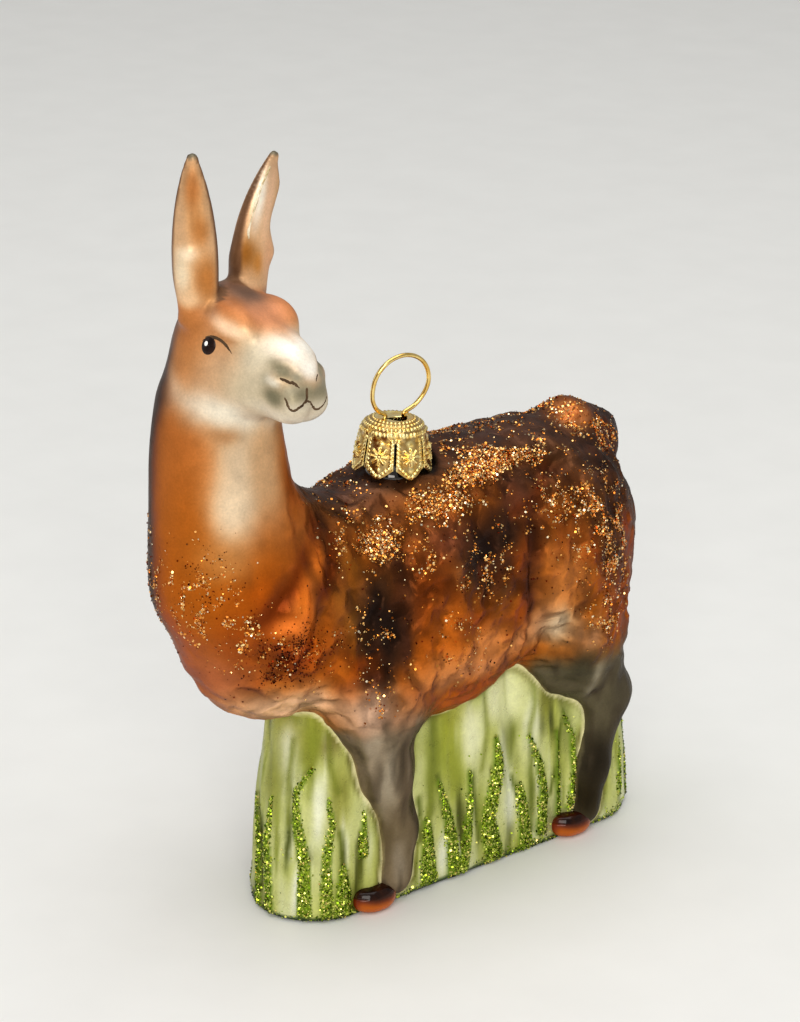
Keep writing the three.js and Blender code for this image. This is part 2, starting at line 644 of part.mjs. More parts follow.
// ---------------------------------------------------------------- finishes and the finished part
const FINISH = {
  coat: { color: 0xb5632a, roughness: 0.38, metalness: 0.45 },
  face: { color: 0xcdb898, roughness: 0.4, metalness: 0.35 },
  back: { color: 0x6a3c22, roughness: 0.4, metalness: 0.45 },
  legs: { color: 0x6f6555, roughness: 0.45, metalness: 0.35 },
  hoof: { color: 0x7a2408, roughness: 0.15, metalness: 0.2 },
  eye: { color: 0x1e130c, roughness: 0.12, metalness: 0 },
  grass: { color: 0xa5b04a, roughness: 0.4, metalness: 0.35 },
  glass: { color: 0xb9bcbc, roughness: 0.1, metalness: 0.3 },
  brass: { color: 0xe8c25a, roughness: 0.3, metalness: 1 },
};

const model = new THREE.Group();
model.name = 'llama_ornament';
const hanger = new THREE.Group();
hanger.name = 'hanger';
hanger.position.set(...CAP_FOOT);
hanger.rotation.x = -rad(CAP_LEAN);
model.add(hanger);

function place(name, body, finish, group = model) {
  const mesh = new THREE.Mesh(geometryOf(body), new THREE.MeshStandardMaterial(FINISH[finish]));
  mesh.name = name;
  group.add(mesh);
}

place('head', head(), 'face');
place('ear_left', ear('left'), 'coat');
place('ear_right', ear('right'), 'coat');
place('eye_left', eye(-1, 0), 'eye');
place('eye_right', eye(1, 0), 'eye');
place('neck', neck(), 'coat');
const besideGrass = [trunk()];
place('trunk', besideGrass[0], 'back');
place('tail', tail(), 'back');
for (const [sideName, side] of [['left', 1], ['right', -1]]) {
  for (const [endName, end] of [['front', HOOF.front], ['hind', HOOF.hind]]) {
    const limbBody = leg(side, end);
    besideGrass.push(limbBody);
    place(`leg_${endName}_${sideName}`, limbBody, 'legs');
    place(`hoof_${endName}_${sideName}`, hoof(side, end, 0), 'hoof');
  }
}
place('grass_base', grass(besideGrass), 'grass');
place('glass_neck', glassNeck(), 'glass', hanger);
place('cap_crown', capCrown(), 'brass', hanger);
place('hanger_loop', hangerLoop(), 'brass', hanger);

export default model;
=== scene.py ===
"""Blown glass llama ornament on a block of grass, with an embossed crown cap and a wire hanging loop.

Sizes are in millimetres, +Z up, and turn to metres as each piece is made. The llama looks along -Y, its
left side is +X and its head is turned to its left. Every skin is worked from rounded forms: a form is a
function that is negative inside.
"""

from __future__ import annotations

import logging
import math
from dataclasses import dataclass, field
from enum import Enum
from typing import Callable

import bpy
import numpy as np
from mathutils import Matrix, Vector
from mathutils.bvhtree import BVHTree

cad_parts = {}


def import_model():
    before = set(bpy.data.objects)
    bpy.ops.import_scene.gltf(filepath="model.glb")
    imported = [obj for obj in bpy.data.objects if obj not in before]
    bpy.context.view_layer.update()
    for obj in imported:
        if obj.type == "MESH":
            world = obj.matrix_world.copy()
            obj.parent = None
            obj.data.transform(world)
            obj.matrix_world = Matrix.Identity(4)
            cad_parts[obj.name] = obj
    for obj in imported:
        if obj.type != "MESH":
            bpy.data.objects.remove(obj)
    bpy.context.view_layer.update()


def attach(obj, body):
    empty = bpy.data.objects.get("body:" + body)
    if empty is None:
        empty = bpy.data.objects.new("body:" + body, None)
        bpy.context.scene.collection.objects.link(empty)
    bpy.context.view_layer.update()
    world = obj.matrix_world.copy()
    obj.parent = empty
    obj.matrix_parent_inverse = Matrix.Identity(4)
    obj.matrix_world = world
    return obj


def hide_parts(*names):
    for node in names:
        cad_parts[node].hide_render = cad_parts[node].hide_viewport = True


LOG = logging.getLogger("llama_ornament")
MM = 0.001
Array = np.ndarray
Point = tuple[float, float, float]
Form = Callable[[Array], Array]
Tree = bpy.types.NodeTree
Socket = bpy.types.NodeSocket
Piece = bpy.types.Object


# ---- colour and small sums
def srgb(tint: str) -> Array:
    """Turns '#RRGGBB' into three sRGB numbers from 0 to 1."""
    return np.array([int(tint[n : n + 2], 16) / 255 for n in (1, 3, 5)])


def to_linear(colour: Array) -> Array:
    """Turns sRGB numbers into the linear ones a shader works in."""
    low = colour / 12.92
    high = ((np.maximum(colour, 0.04045) + 0.055) / 1.055) ** 2.4
    return np.where(colour <= 0.04045, low, high)


def paint(tint: str) -> tuple[float, float, float, float]:
    """Gives a shader socket's linear colour for '#RRGGBB'."""
    return (*(float(c) for c in to_linear(srgb(tint))), 1.0)


def unit(x: Array) -> Array:
    """Values kept from 0 to 1."""
    return np.clip(x, 0, 1)


def ramp(x: Array, start: float, end: float) -> Array:
    """Eased step from 0 at start to 1 at end."""
    t = unit((x - start) / (end - start))
    return t * t * (3 - 2 * t)


def size_of(v: Array) -> Array:
    """Length of each row."""
    return np.sqrt((v * v).sum(-1))


def mirrored(p: Array, axis: int = 0) -> Array:
    """The same points with one coordinate made positive."""
    q = p.copy()
    q[:, axis] = np.abs(q[:, axis])
    return q


def turned(p: Array, degrees: float, first: int, second: int) -> Array:
    """The same points turned from one coordinate's axis toward another's."""
    cos, sin = math.cos(math.radians(degrees)), math.sin(math.radians(degrees))
    q = p.copy()
    q[:, first] = cos * p[:, first] - sin * p[:, second]
    q[:, second] = sin * p[:, first] + cos * p[:, second]
    return q


def grain(p: Array, cell: Point, seed: int) -> Array:
    """Smooth noise from -1 to 1.

    Args:
        p: Points in millimetres.
        cell: Size of a lump along X, Y and Z in millimetres.
        seed: Which of the patterns to give.

    Returns:
        One number for each point.
    """
    q = p / np.array(cell)
    low = np.floor(q)
    t = q - low
    t = t * t * (3 - 2 * t)
    low = low.astype(np.int64)
    total = np.zeros(len(p))
    for corner in range(8):
        step = np.array([corner & 1, corner >> 1 & 1, corner >> 2 & 1])
        i, j, k = (low + step).T
        key = (i * 73856093) ^ (j * 19349663) ^ (k * 83492791) ^ (seed * 2654435761)
        key = (key ^ (key >> 13)) * 1274126177 & 0xFFFFFFFF
        key = (key ^ (key >> 16)) * 2246822519 & 0xFFFFFFFF
        share = np.prod(np.where(step, t, 1 - t), axis=1)
        total += share * ((key >> 8 & 0xFFFF) / 32767.5 - 1)
    return total


def folds(p: Array, cell: Point, seed: int) -> Array:
    """Noise of two scales, from about -1 to 1, for soft folds."""
    half = tuple(c / 2 for c in cell)
    return 0.68 * grain(p, cell, seed) + 0.32 * grain(p, half, seed + 7)


def wander(p: Array, size: float, cell: Point, seed: int) -> Array:
    """Points moved by soft noise of about size, so that painted edges aren't straight."""
    return p + np.stack([size * folds(p, cell, seed + n) for n in range(3)], -1)


def patchy(noise: Array, gain: float = 1.0, more: float = 0.0) -> Array:
    """Cover made of noise: more where it is high, or where it is low with a gain below 0."""
    return unit(noise * gain + more)


def along_line(p: Array, points: tuple[Point, ...]) -> tuple[Array, Array]:
    """Distance to a line of straight stretches.

    Args:
        p: Points in millimetres.
        points: The line's corners.

    Returns:
        The distance, and how far along the line the nearest place is.
    """
    best, travel, done = np.full(len(p), 1e9), np.zeros(len(p)), 0.0
    for a, b in zip(points[:-1], points[1:]):
        start, span = np.array(a), np.subtract(b, a)
        run = float(np.linalg.norm(span))
        t = unit((p - start) @ span / run**2)
        gap = size_of(p - start - t[:, None] * span)
        travel = np.where(gap < best, done + t * run, travel)
        best = np.minimum(best, gap)
        done += run
    return best, travel


# ---- rounded forms
def ellipsoid(p: Array, centre: Point, radii: Point) -> Array:
    """Distance to an ellipsoid, near enough close to its surface."""
    q = p - np.array(centre, np.float32)
    r = np.array(radii, np.float32)
    near = size_of(q / r)
    return near * (near - 1) / np.maximum(size_of(q / (r * r)), 1e-6)


def limb(p: Array, a: Point, b: Point, ra: float, rb: float) -> Array:
    """Distance to a tapered limb with round ends.

    Args:
        p: Points in millimetres.
        a: Centre of the first end.
        b: Centre of the second end.
        ra: Radius of the first end.
        rb: Radius of the second end.

    Returns:
        One distance for each point.
    """
    start = np.array(a, np.float32)
    axis = np.array(b, np.float32) - start
    l2 = float(axis @ axis)
    taper = ra - rb
    q = p - start
    y = q @ axis
    z = y - l2
    x2 = ((q * l2 - axis * y[:, None]) ** 2).sum(-1)
    bend = np.sign(taper) * taper * taper * x2
    side = (np.sqrt(x2 * (l2 - taper * taper) / l2) + y * taper) / l2 - ra
    low = np.sqrt(x2 + y * y * l2) / l2 - ra
    high = np.sqrt(x2 + z * z * l2) / l2 - rb
    a2 = l2 - taper * taper
    past = np.sign(z) * a2 * z * z * l2 > bend
    before = np.sign(y) * a2 * y * y * l2 < bend
    return np.where(past, high, np.where(before, low, side))


def blend(a: Array, b: Array, k: float) -> Array:
    """Join of two forms with a fillet of about k."""
    h = np.maximum(k - np.abs(a - b), 0) / k
    return np.minimum(a, b) - h * h * k / 4


def blend_max(a: Array, b: Array, k: float) -> Array:
    """Common part of two forms with its edge eased by about k."""
    return -blend(-a, -b, k)


def slope(form: Form, p: Array, step: float = 0.06) -> Array:
    """Direction in which a form grows at each point, not yet of length one."""
    out = np.empty_like(p)
    for axis in range(3):
        move = np.zeros(3, p.dtype)
        move[axis] = step
        out[:, axis] = (form(p + move) - form(p - move)) / (2 * step)
    return out


def in_parts(form: Form, p: Array, part: int = 60000) -> Array:
    """A form's values, worked in parts small enough to be quick."""
    return np.concatenate([form(p[n : n + part]) for n in range(0, len(p), part)])


def grid_lines(stops: list[tuple[float, float]], end: float) -> Array:
    """Grid positions along one axis.

    Args:
        stops: Pairs of a start and the cell size from there on.
        end: Where the last stretch ends.

    Returns:
        The rising positions.
    """
    edges = [s for s, _ in stops] + [end]
    parts = [
        np.linspace(a, b, max(round((b - a) / cell), 1), endpoint=False)
        for (a, cell), b in zip(stops, edges[1:])
    ]
    return np.concatenate([*parts, [end]]).astype(np.float32)


def skin_of(form: Form, lines: tuple[Array, Array, Array]) -> tuple[Array, Array]:
    """Closed skin of a form, one vertex to each grid cell that the surface crosses.

    Args:
        form: The rounded form.
        lines: Grid positions along X, Y and Z.

    Returns:
        Vertices lying on the form, and faces of four corners wound outward.
    """
    counts = [len(line) for line in lines]
    step, reach = 4, 4.8
    rough_lines = [line[::step] for line in lines]
    rough_points = np.stack(np.meshgrid(*rough_lines, indexing="ij"), -1).reshape(-1, 3)
    rough = in_parts(form, rough_points).reshape([len(line) for line in rough_lines])
    near = np.abs(rough) < reach
    wide = near.copy()
    for axis in range(3):
        for shift in (1, -1):
            wide |= np.roll(near, shift, axis)
    window = tuple(slice(0, n) for n in counts)

    def spread(block: Array) -> Array:
        """Repeats each rough value over its fine cells."""
        for axis in range(3):
            block = np.repeat(block, step, axis)
        return block[window]

    value = spread(rough).astype(np.float32)
    todo = np.nonzero(spread(wide))
    points = np.stack([lines[axis][todo[axis]] for axis in range(3)], -1)
    value[todo] = in_parts(form, points)
    inside = value < 0
    shape = [n - 1 for n in counts]

    def corner(i: int, j: int, k: int, of: Array) -> Array:
        """One corner of every cell."""
        return of[i : i + shape[0], j : j + shape[1], k : k + shape[2]]

    filled = sum(
        corner(i, j, k, inside).astype(np.int8)
        for i in (0, 1) for j in (0, 1) for k in (0, 1)
    )
    cells = np.argwhere((filled > 0) & (filled < 8))
    number = np.full(shape, -1, np.int64)
    number[tuple(cells.T)] = np.arange(len(cells))
    total = np.zeros((len(cells), 3))
    crossings = np.zeros(len(cells))
    for axis in range(3):
        others = [n for n in range(3) if n != axis]
        for u, v in ((0, 0), (0, 1), (1, 0), (1, 1)):
            start = cells.copy()
            start[:, others[0]] += u
            start[:, others[1]] += v
            end = start.copy()
            end[:, axis] += 1
            va, vb = value[tuple(start.T)], value[tuple(end.T)]
            crossed = (va < 0) != (vb < 0)
            place = start.astype(float)
            place[:, axis] += np.where(crossed, va / np.where(crossed, va - vb, 1), 0)
            total += place * crossed[:, None]
            crossings += crossed
    index = total / crossings[:, None]
    vertices = np.stack(
        [np.interp(index[:, a], np.arange(counts[a]), lines[a]) for a in range(3)], -1
    ).astype(np.float32)
    for _ in range(3):
        steep = slope(form, vertices)
        pull = form(vertices) / np.maximum((steep * steep).sum(-1), 0.05)
        vertices -= steep * np.clip(pull, -0.25, 0.25)[:, None]
    faces = []
    for axis in range(3):
        b, c = (n for n in range(3) if n != axis)
        lower = inside.take(range(counts[axis] - 1), axis)
        upper = inside.take(range(1, counts[axis]), axis)
        edges = np.argwhere(lower != upper)
        fits = (edges[:, b] > 0) & (edges[:, c] > 0)
        fits &= (edges[:, b] < counts[b] - 1) & (edges[:, c] < counts[c] - 1)
        edges = edges[fits]
        ring = []
        for back_b, back_c in ((0, 0), (1, 0), (1, 1), (0, 1)):
            cell = edges.copy()
            cell[:, b] -= back_b
            cell[:, c] -= back_c
            ring.append(number[tuple(cell.T)])
        quad = np.stack(ring, 1)
        outward = lower[tuple(edges.T)] != (axis == 1)
        faces.append(np.where(outward[:, None], quad, quad[:, ::-1]))
    return vertices, np.concatenate(faces)


# ---- marks laid on a form
@dataclass(frozen=True)
class Patch:
    """A soft oval mark: middle, reach along each axis, amount, tint, and how firm its rim is."""

    place: Point
    reach: Point
    amount: float
    tint: str = ""
    rim: float = 1.0

    def at(self, p: Array) -> Array:
        """How much of the mark lies on each point."""
        r2 = (((p - np.array(self.place)) / np.array(self.reach)) ** 2).sum(-1)
        return self.amount * np.exp(-(r2**self.rim))


@dataclass(frozen=True)
class Line:
    """A soft line: half width, amount, corners and tint."""

    width: float
    amount: float
    points: tuple[Point, ...]
    tint: str = ""

    def at(self, p: Array) -> Array:
        """How much of the line lies on each point."""
        return self.amount * np.exp(-((along_line(p, self.points)[0] / self.width) ** 2))


Marks = tuple[Patch | Line, ...]
SPRAY_RIM = 1.35


def patches(*rows: tuple) -> Marks:
    """Swellings of the mould, or hollows: rows of middle, reach and height."""
    return tuple(Patch(row[:3], row[3:6], row[6]) for row in rows)


def ridges(*rows: tuple) -> Marks:
    """Ridges of the mould, or creases: rows of half width, height and corners."""
    return tuple(Line(row[0], row[1], row[2:]) for row in rows)


def sprays(*rows: tuple) -> Marks:
    """Airbrushed patches, some of them painted highlight or painted shade: rows of tint, middle, reach and
    strength.
    """
    return tuple(Patch(row[1:4], row[4:7], row[7], row[0], SPRAY_RIM) for row in rows)


def strokes(*rows: tuple) -> Marks:
    """Brushed lines, some of them painted shade along creases: rows of tint, half width, strength and
    corners.
    """
    return tuple(Line(row[1], row[2], row[3:], row[0]) for row in rows)


def drifts(*rows: tuple) -> Marks:
    """Places where glue held glitter: rows of middle, reach and how thickly it lies."""
    return sprays(*(("", *row) for row in rows))


def added(amount: Array, marks: Marks, p: Array) -> Array:
    """What each point has, and the marks' amounts on top."""
    for mark in marks:
        amount = amount + mark.at(p)
    return amount


def layered(colour: Array, *layers: tuple[str, Array]) -> Array:
    """Lays tints over sRGB colours in order, each with its own cover at each point."""
    for tint, cover in layers:
        share = unit(cover)[:, None]
        colour = colour * (1 - share) + srgb(tint) * share
    return colour


def lay(colour: Array, marks: Marks, p: Array) -> Array:
    """Lays painted marks over sRGB colours in order, with p in the marks' own coordinates."""
    return layered(colour, *((mark.tint, mark.at(p)) for mark in marks))


# ---- the animal's forms
def head_axes(yaw: float, roll: float, pitch: float) -> Array:
    """Rows are the head's forward, side (its right) and up.

    Args:
        yaw: Facing direction from +X toward +Y, in degrees.
        roll: How far its right side is raised.
        pitch: How far the muzzle is lowered.

    Returns:
        Three rows of length one.
    """
    a, r, p = (math.radians(v) for v in (yaw, roll, pitch))
    level = np.array([math.cos(a), math.sin(a), 0.0])
    right = np.array([math.sin(a), -math.cos(a), 0.0])
    up = np.array([0.0, 0.0, 1.0])
    side = right * math.cos(r) + up * math.sin(r)
    rise = up * math.cos(r) - right * math.sin(r)
    forward = level * math.cos(p) - rise * math.sin(p)
    return np.array([forward, side, rise * math.cos(p) + level * math.sin(p)])


@dataclass
class Ear:
    """One ear blade: its root and tip in the level head frame, the way it faces, and its bow."""

    side: int
    base: Point
    tip: Point
    face: tuple[float, float]
    bow: float = 0.0
    half_width: float = 3.1
    thickness: float = 0.6
    peak: float = 0.3
    knob: float = 0.38

    def __post_init__(self) -> None:
        """Works out the blade's own axes."""
        flip = np.array([1, self.side, 1])
        self.root = np.array(self.base) * flip
        span = np.array(self.tip) * flip - self.root
        self.length = float(np.linalg.norm(span))
        self.axis = span / self.length
        flat = np.array([self.face[0], self.face[1] * self.side, 0.0])
        flat -= self.axis * (flat @ self.axis)
        self.normal = flat / np.linalg.norm(flat)
        self.across = np.cross(self.normal, self.axis)

    def blade_place(self, q: Array) -> Array:
        """Points as share of the length, place across and place outward of the blade."""
        q = q - self.root.astype(q.dtype)
        axes = np.stack([self.axis / self.length, self.across, self.normal])
        out = q @ axes.T.astype(q.dtype)
        out[:, 1] += self.bow * np.sin(np.pi * unit(out[:, 0]))
        return out

    def section(self, t: Array) -> tuple[Array, Array]:
        """Half width and half thickness at a share of the length."""
        past = unit(1 - (np.maximum(t - self.peak, 0) / (1 - self.peak)) ** 2)
        waist = 1 - 0.12 * (np.maximum(self.peak - t, 0) / self.peak) ** 2
        wide = (self.half_width - self.knob) * past**0.85 * waist + self.knob
        thick = wide * (self.thickness + 0.3 * (1 - t) ** 3)
        return wide, np.maximum(thick, self.knob)

    def form(self, q: Array) -> Array:
        """Distance to the blade, from points in the level head frame."""
        t, w, n = self.blade_place(q).T
        wide, thick = self.section(unit(t))
        near = np.hypot(w / wide, n / thick)
        steep = np.hypot(w / wide**2, n / thick**2)
        oval = near * (near - 1) / np.maximum(steep, 1e-6)
        along = t * self.length
        cut = blend_max(oval * 0.7, along - self.length, 0.4)
        knob = np.sqrt((along - self.length + 0.75) ** 2 + (w - 0.2) ** 2 + n * n) - 0.52
        return blend(blend_max(cut, -along - 2, 1.0), knob, 0.5)


@dataclass
class LlamaForm:
    """The llama's body as rounded forms, standing in the grass."""

    skull: Point = (-1.0, -38.0, 89.3)
    yaw: float = 6.0
    roll: float = 5.0
    pitch: float = 14.0
    seat_foot: Point = (1.0, -9.84, 64.16)
    seat_lean: float = 3.7
    seat_radius: float = 6.2
    seat_drop: float = 0.4
    right_ear: Ear = field(
        default_factory=lambda: Ear(1, (0.6, 4.9, 3.6), (1.2, 7.6, 25.0), (0.7, 0.72))
    )
    left_ear: Ear = field(
        default_factory=lambda: Ear(-1, (0.6, 4.1, 4.6), (1.4, 7.2, 23.9), (0.97, 0.05), 1.1)
    )

    def __post_init__(self) -> None:
        """Works out the head's axes and the cap's."""
        self.axes = head_axes(self.yaw, self.roll, self.pitch)
        self.level = head_axes(self.yaw, self.roll, 0.0)
        lean = math.radians(self.seat_lean)
        self.cap_axis = np.array([0.0, math.sin(lean), math.cos(lean)])

    def in_head(self, p: Array) -> Array:
        """Points as forward, side and up of the skull."""
        return (p - np.array(self.skull, p.dtype)) @ self.axes.T.astype(p.dtype)

    def from_head(self, q: Array) -> Array:
        """Head points back in the model's frame."""
        return q @ self.axes + np.array(self.skull)

    def in_level(self, p: Array) -> Array:
        """Points in the level head frame, which the ears stand in."""
        return (p - np.array(self.skull, p.dtype)) @ self.level.T.astype(p.dtype)

    def from_blade(self, ear: Ear, q: Array) -> Array:
        """An ear's own (share, across, outward) places back in the model's frame."""
        across = q[:, 1] - ear.bow * np.sin(np.pi * unit(q[:, 0]))
        level = ear.root + np.outer(q[:, 0] * ear.length, ear.axis)
        level = level + np.outer(across, ear.across) + np.outer(q[:, 2], ear.normal)
        return level @ self.level + np.array(self.skull)

    def head(self, p: Array) -> Array:
        """Skull, face, muzzle, split lips, jaw, cheeks and brows."""
        q = self.in_head(p)
        pair = mirrored(q, 1)
        d = ellipsoid(q, (1.1, 0, -0.6), (6.8, 6.15, 7.6))
        d = blend(d, ellipsoid(q, (7.2, 0, -0.1), (9.4, 5.5, 6.0)), 4)
        d = blend(d, ellipsoid(q, (14.2, 0, -0.4), (5.0, 4.5, 4.2)), 3)
        d = blend(d, ellipsoid(pair, (16.9, 1.9, -2.1), (2.7, 2.3, 2.3)), 1.2)
        d = blend(d, ellipsoid(q, (11.8, 0, -3.4), (6.8, 3.7, 2.3)), 2.5)
        d = blend(d, ellipsoid(pair, (5.2, 2.8, -2.2), (8.0, 3.9, 5.2)), 3)
        return blend(d, ellipsoid(pair, (6.0, 3.8, 4.3), (3.8, 2.2, 2.6)), 1.8)

    def neck(self, p: Array) -> Array:
        """Oval column from the chest to the skull."""
        z = p[:, 2]
        rise = ramp(z, 50, 84)
        nape = unit((z - 70) / 22) ** 2
        y = p[:, 1] - (-37.5 - 2.1 * rise + 2.6 * nape)
        rx = 10.9 - 3.0 * rise
        front = 11.9 - 2.3 * rise - 2.6 * nape
        ry = np.where(y > 0, front * 0.88, front)
        near = np.hypot(p[:, 0] / rx, y / ry)
        steep = np.hypot(p[:, 0] / rx**2, y / ry**2)
        column = near * (near - 1) / np.maximum(steep, 1e-6)
        return blend_max(column * 0.95, np.abs(z - 67.5) - 20.5, 8)

    def trunk(self, p: Array) -> Array:
        """Barrel, chest, rump, belly, shoulders and haunches."""
        pair = mirrored(p)
        barrel = turned(p - np.array([0, -3, 46], p.dtype), -6, 1, 2)
        d = ellipsoid(barrel, (0, 0.2, 0.3), (15.7, 30.2, 18.9))
        d = blend(d, ellipsoid(p, (0, -31.2, 48.2), (12.3, 14.6, 16.7)), 6)
        d = blend(d, ellipsoid(p, (0, 16.8, 46.9), (15.6, 16.2, 17.7)), 5)
        d = blend(d, ellipsoid(pair, (7.0, -8, 37.5), (8.0, 15, 10)), 4)
        d = blend(d, ellipsoid(pair, (8.6, -19, 38), (6, 9.5, 11)), 4)
        return blend(d, ellipsoid(pair, (7.6, 18.4, 36.3), (5.9, 9.9, 13.2)), 4)

    def legs(self, p: Array) -> Array:
        """Both pairs of legs, down to the hooves."""
        pair = mirrored(p)
        front = limb(pair, (9.3, -19.5, 35), (8.4, -18, 21), 6.0, 3.9)
        front = blend(front, limb(pair, (8.4, -17.4, 22), (8.3, -15.1, 11), 3.9, 2.9), 3)
        front = blend(front, limb(pair, (8.3, -15.1, 11), (8.3, -15.9, 4.3), 2.9, 3.1), 2)
        hind = limb(pair, (8.8, 18.1, 34), (8.4, 25.4, 21.5), 6.4, 3.4)
        hind = blend(hind, limb(pair, (8.4, 25.0, 22), (8.2, 22.6, 10), 3.6, 2.8), 3)
        hind = blend(hind, limb(pair, (8.2, 22.6, 10), (8.0, 21.3, 3.5), 2.8, 3.0), 2)
        return np.minimum(front, hind)

    def seat(self, p: Array) -> Array:
        """Round sinking under the cap, open upward."""
        q = p - np.array(self.seat_foot, p.dtype)
        height = q @ self.cap_axis.astype(p.dtype)
        away = np.sqrt(np.maximum((q * q).sum(-1) - height**2, 0))
        return blend_max(away - self.seat_radius, -self.seat_drop - height, 0.6)

    def body(self, p: Array) -> Array:
        """The whole llama without hooves."""
        d = blend(self.trunk(p), self.neck(p), 4.5)
        d = blend(d, self.head(p), 3)
        q = self.in_level(p)
        d = blend(d, self.right_ear.form(q), 1.2)
        d = blend(d, self.left_ear.form(q), 1.2)
        d = blend(d, limb(p, (0, 24.2, 61.0), (0, 29.0, 59.2), 5.2, 4.4), 2.5)
        d = blend(d, self.legs(p), 4)
        return blend_max(blend_max(d, -self.seat(p), 0.5), -p[:, 2] + 0.5, 0.6)


@dataclass(frozen=True)
class Blade:
    """A raised blade of grass: places round the block and up it from tip to foot, and the foot's width."""

    line: tuple[tuple[float, float], ...]
    width: float

    def cover(self, around: Array, height: Array) -> Array:
        """One along the blade's middle, falling to 0 at its edges."""
        places = np.array(self.line[::-1])
        middle = np.interp(height, places[:, 1], places[:, 0])
        foot, tip = places[0, 1], places[-1, 1]
        share = unit((tip - height) / (tip - foot))
        half = 0.54 * self.width * (0.2 + 0.8 * share**0.7)
        body = unit(1 - np.abs(around - middle) / half)
        return body * (height < tip) * ramp(height, foot - 0.9, foot)


# blades seen best: foot width, then places round the block and up it, from tip to foot
BLADES = (
    (1.9, (0.2, 18.1), (-0.2, 11.2), (1.3, 1.4)),
    (2.2, (6.8, 23.6), (4.4, 19.8), (5, 15.1), (6.4, 9.2), (6.9, 1.6)),
    (1.9, (9.4, 19.2), (10.2, 15.2), (9.6, 10.5), (10.1, 1.5)), (3.2, (12.2, 8.6), (12.8, 1.4)),
    (1.5, (15.4, 16), (15.8, 9.5)), (3.4, (27.6, 11.5), (28.5, 1.3)),
    (2.5, (29.6, 17), (31.5, 12.2), (32.8, 6.5), (33.4, 0.9)),
    (1.9, (36, 17), (36.2, 10.8), (35.7, 5.6), (35, 0.9)),
    (3.6, (41.1, 20.6), (41.8, 15.9), (40.6, 10.8), (39.9, 7.2), (41.4, 1)),
    (2.8, (46.3, 11.5), (47.6, 0.9)), (2.2, (47.9, 19), (50.1, 14.2), (51, 9.1), (50.7, 2.4)),
    (1, (54, 18.2), (54.2, 4.3)), (1.2, (55.3, 21), (57.3, 16.2), (57.4, 11.3), (56.4, 4.8)),
    (1.2, (67.7, 12.5), (67.2, 3.7)), (1.4, (-5.1, 16.8), (-1.9, 1.2)),
)


@dataclass
class GrassBlock:
    """Block of grass under the belly: rounded ends, leaning in as it rises, with raised blades."""

    foot_half: float = 9.3
    lean_half: float = 1.0
    front: float = -33.0
    lean_front: float = 3.4
    back: float = 34.4
    lean_back: float = 1.8
    lean_height: float = 30.0
    top: float = 36.0
    corner: float = 14.6
    straight: float = 48.8
    hidden_blades: int = 17
    seed: int = 20

    def __post_init__(self) -> None:
        """Adds blades of the same kind along the other side and round the back."""
        rng = np.random.default_rng(self.seed)
        more = []
        for place in np.linspace(-9, -74, self.hidden_blades):
            at = float(place + rng.uniform(-1.1, 1.1))
            tall = float(rng.uniform(10, 22))
            sway = float(rng.uniform(-2.2, 2.2))
            line = ((at + sway, tall), (at + 0.3 * sway, tall * 0.55), (at, 1.2))
            more.append(Blade(line, float(rng.uniform(1.6, 3.4))))
        more.append(Blade(((73.5, 17.0), (72.4, 9.0), (72.9, 1.2)), 2.4))
        self.blades = [Blade(line, width) for width, *line in BLADES] + more

    def outline(self, z: Array) -> tuple[Array, Array, Array]:
        """Half width, and front and back turning points at a height."""
        lean = unit(z / self.lean_height)
        half = self.foot_half - self.lean_half * lean
        return half, self.front + self.lean_front * lean + half, self.back - self.lean_back * lean - half

    def block(self, p: Array) -> Array:
        """Distance to the plain block."""
        z = p[:, 2]
        half, front, back = self.outline(z)
        away = np.maximum(np.abs(p[:, 1] - (front + back) / 2) - (back - front) / 2, 0)
        wall = np.hypot(p[:, 0], away) - half
        return blend_max(blend_max(wall, z - self.top, 2), -z, 1.0)

    def around(self, p: Array) -> Array:
        """Millimetres round the block from its front middle, positive toward the llama's left."""
        _, front, back = self.outline(p[:, 2])
        x, y = np.abs(p[:, 0]), p[:, 1]
        quarter = self.corner / (math.pi / 2)
        at_front = np.arctan2(x, front - y) * quarter
        at_back = self.corner + self.straight + np.arctan2(y - back, x) * quarter
        between = self.corner + (y - front) / (back - front) * self.straight
        place = np.where(y < front, at_front, np.where(y > back, at_back, between))
        return place * np.where(p[:, 0] < 0, -1, 1)

    def blade_cover(self, p: Array) -> Array:
        """The strongest blade at each point, from 0 to 1."""
        around, z = self.around(p), p[:, 2]
        cover = np.zeros(len(p))
        for blade in self.blades:
            cover = np.maximum(cover, blade.cover(around, z))
        return cover


# ---- what the llama's mould and brush give, painted highlights and painted shade among them
BODY_SWELLS = patches(
    (14, -21.7, 46.5, 5, 2.8, 8.5, -0.8), (15.4, -3.3, 51.5, 4, 3.8, 6, -0.8),
    (12.1, -34.8, 53, 3, 2.4, 5, 0.7), (11.6, -37.6, 49.6, 3, 2.8, 2.2, 0.45),
    (10.2, -30.4, 58.6, 3, 1.8, 4.6, 0.5), (12.6, -27.6, 50, 4, 2.2, 6, 0.35),
    (13.6, -11.4, 53.6, 4, 3.4, 5, 0.4), (15.2, 9.6, 44, 5, 3.6, 6, 0.55),
    (14.5, -28, 42, 5, 2.4, 5, 0.35), (15.5, -9.5, 41, 5, 3.4, 4.4, 0.4), (15, 16, 37, 5, 2.2, 9, 0.45),
    (14, 22, 38, 5, 2, 8, -0.35), (11.5, -38.5, 42.5, 4, 4, 2, 0.35),
)
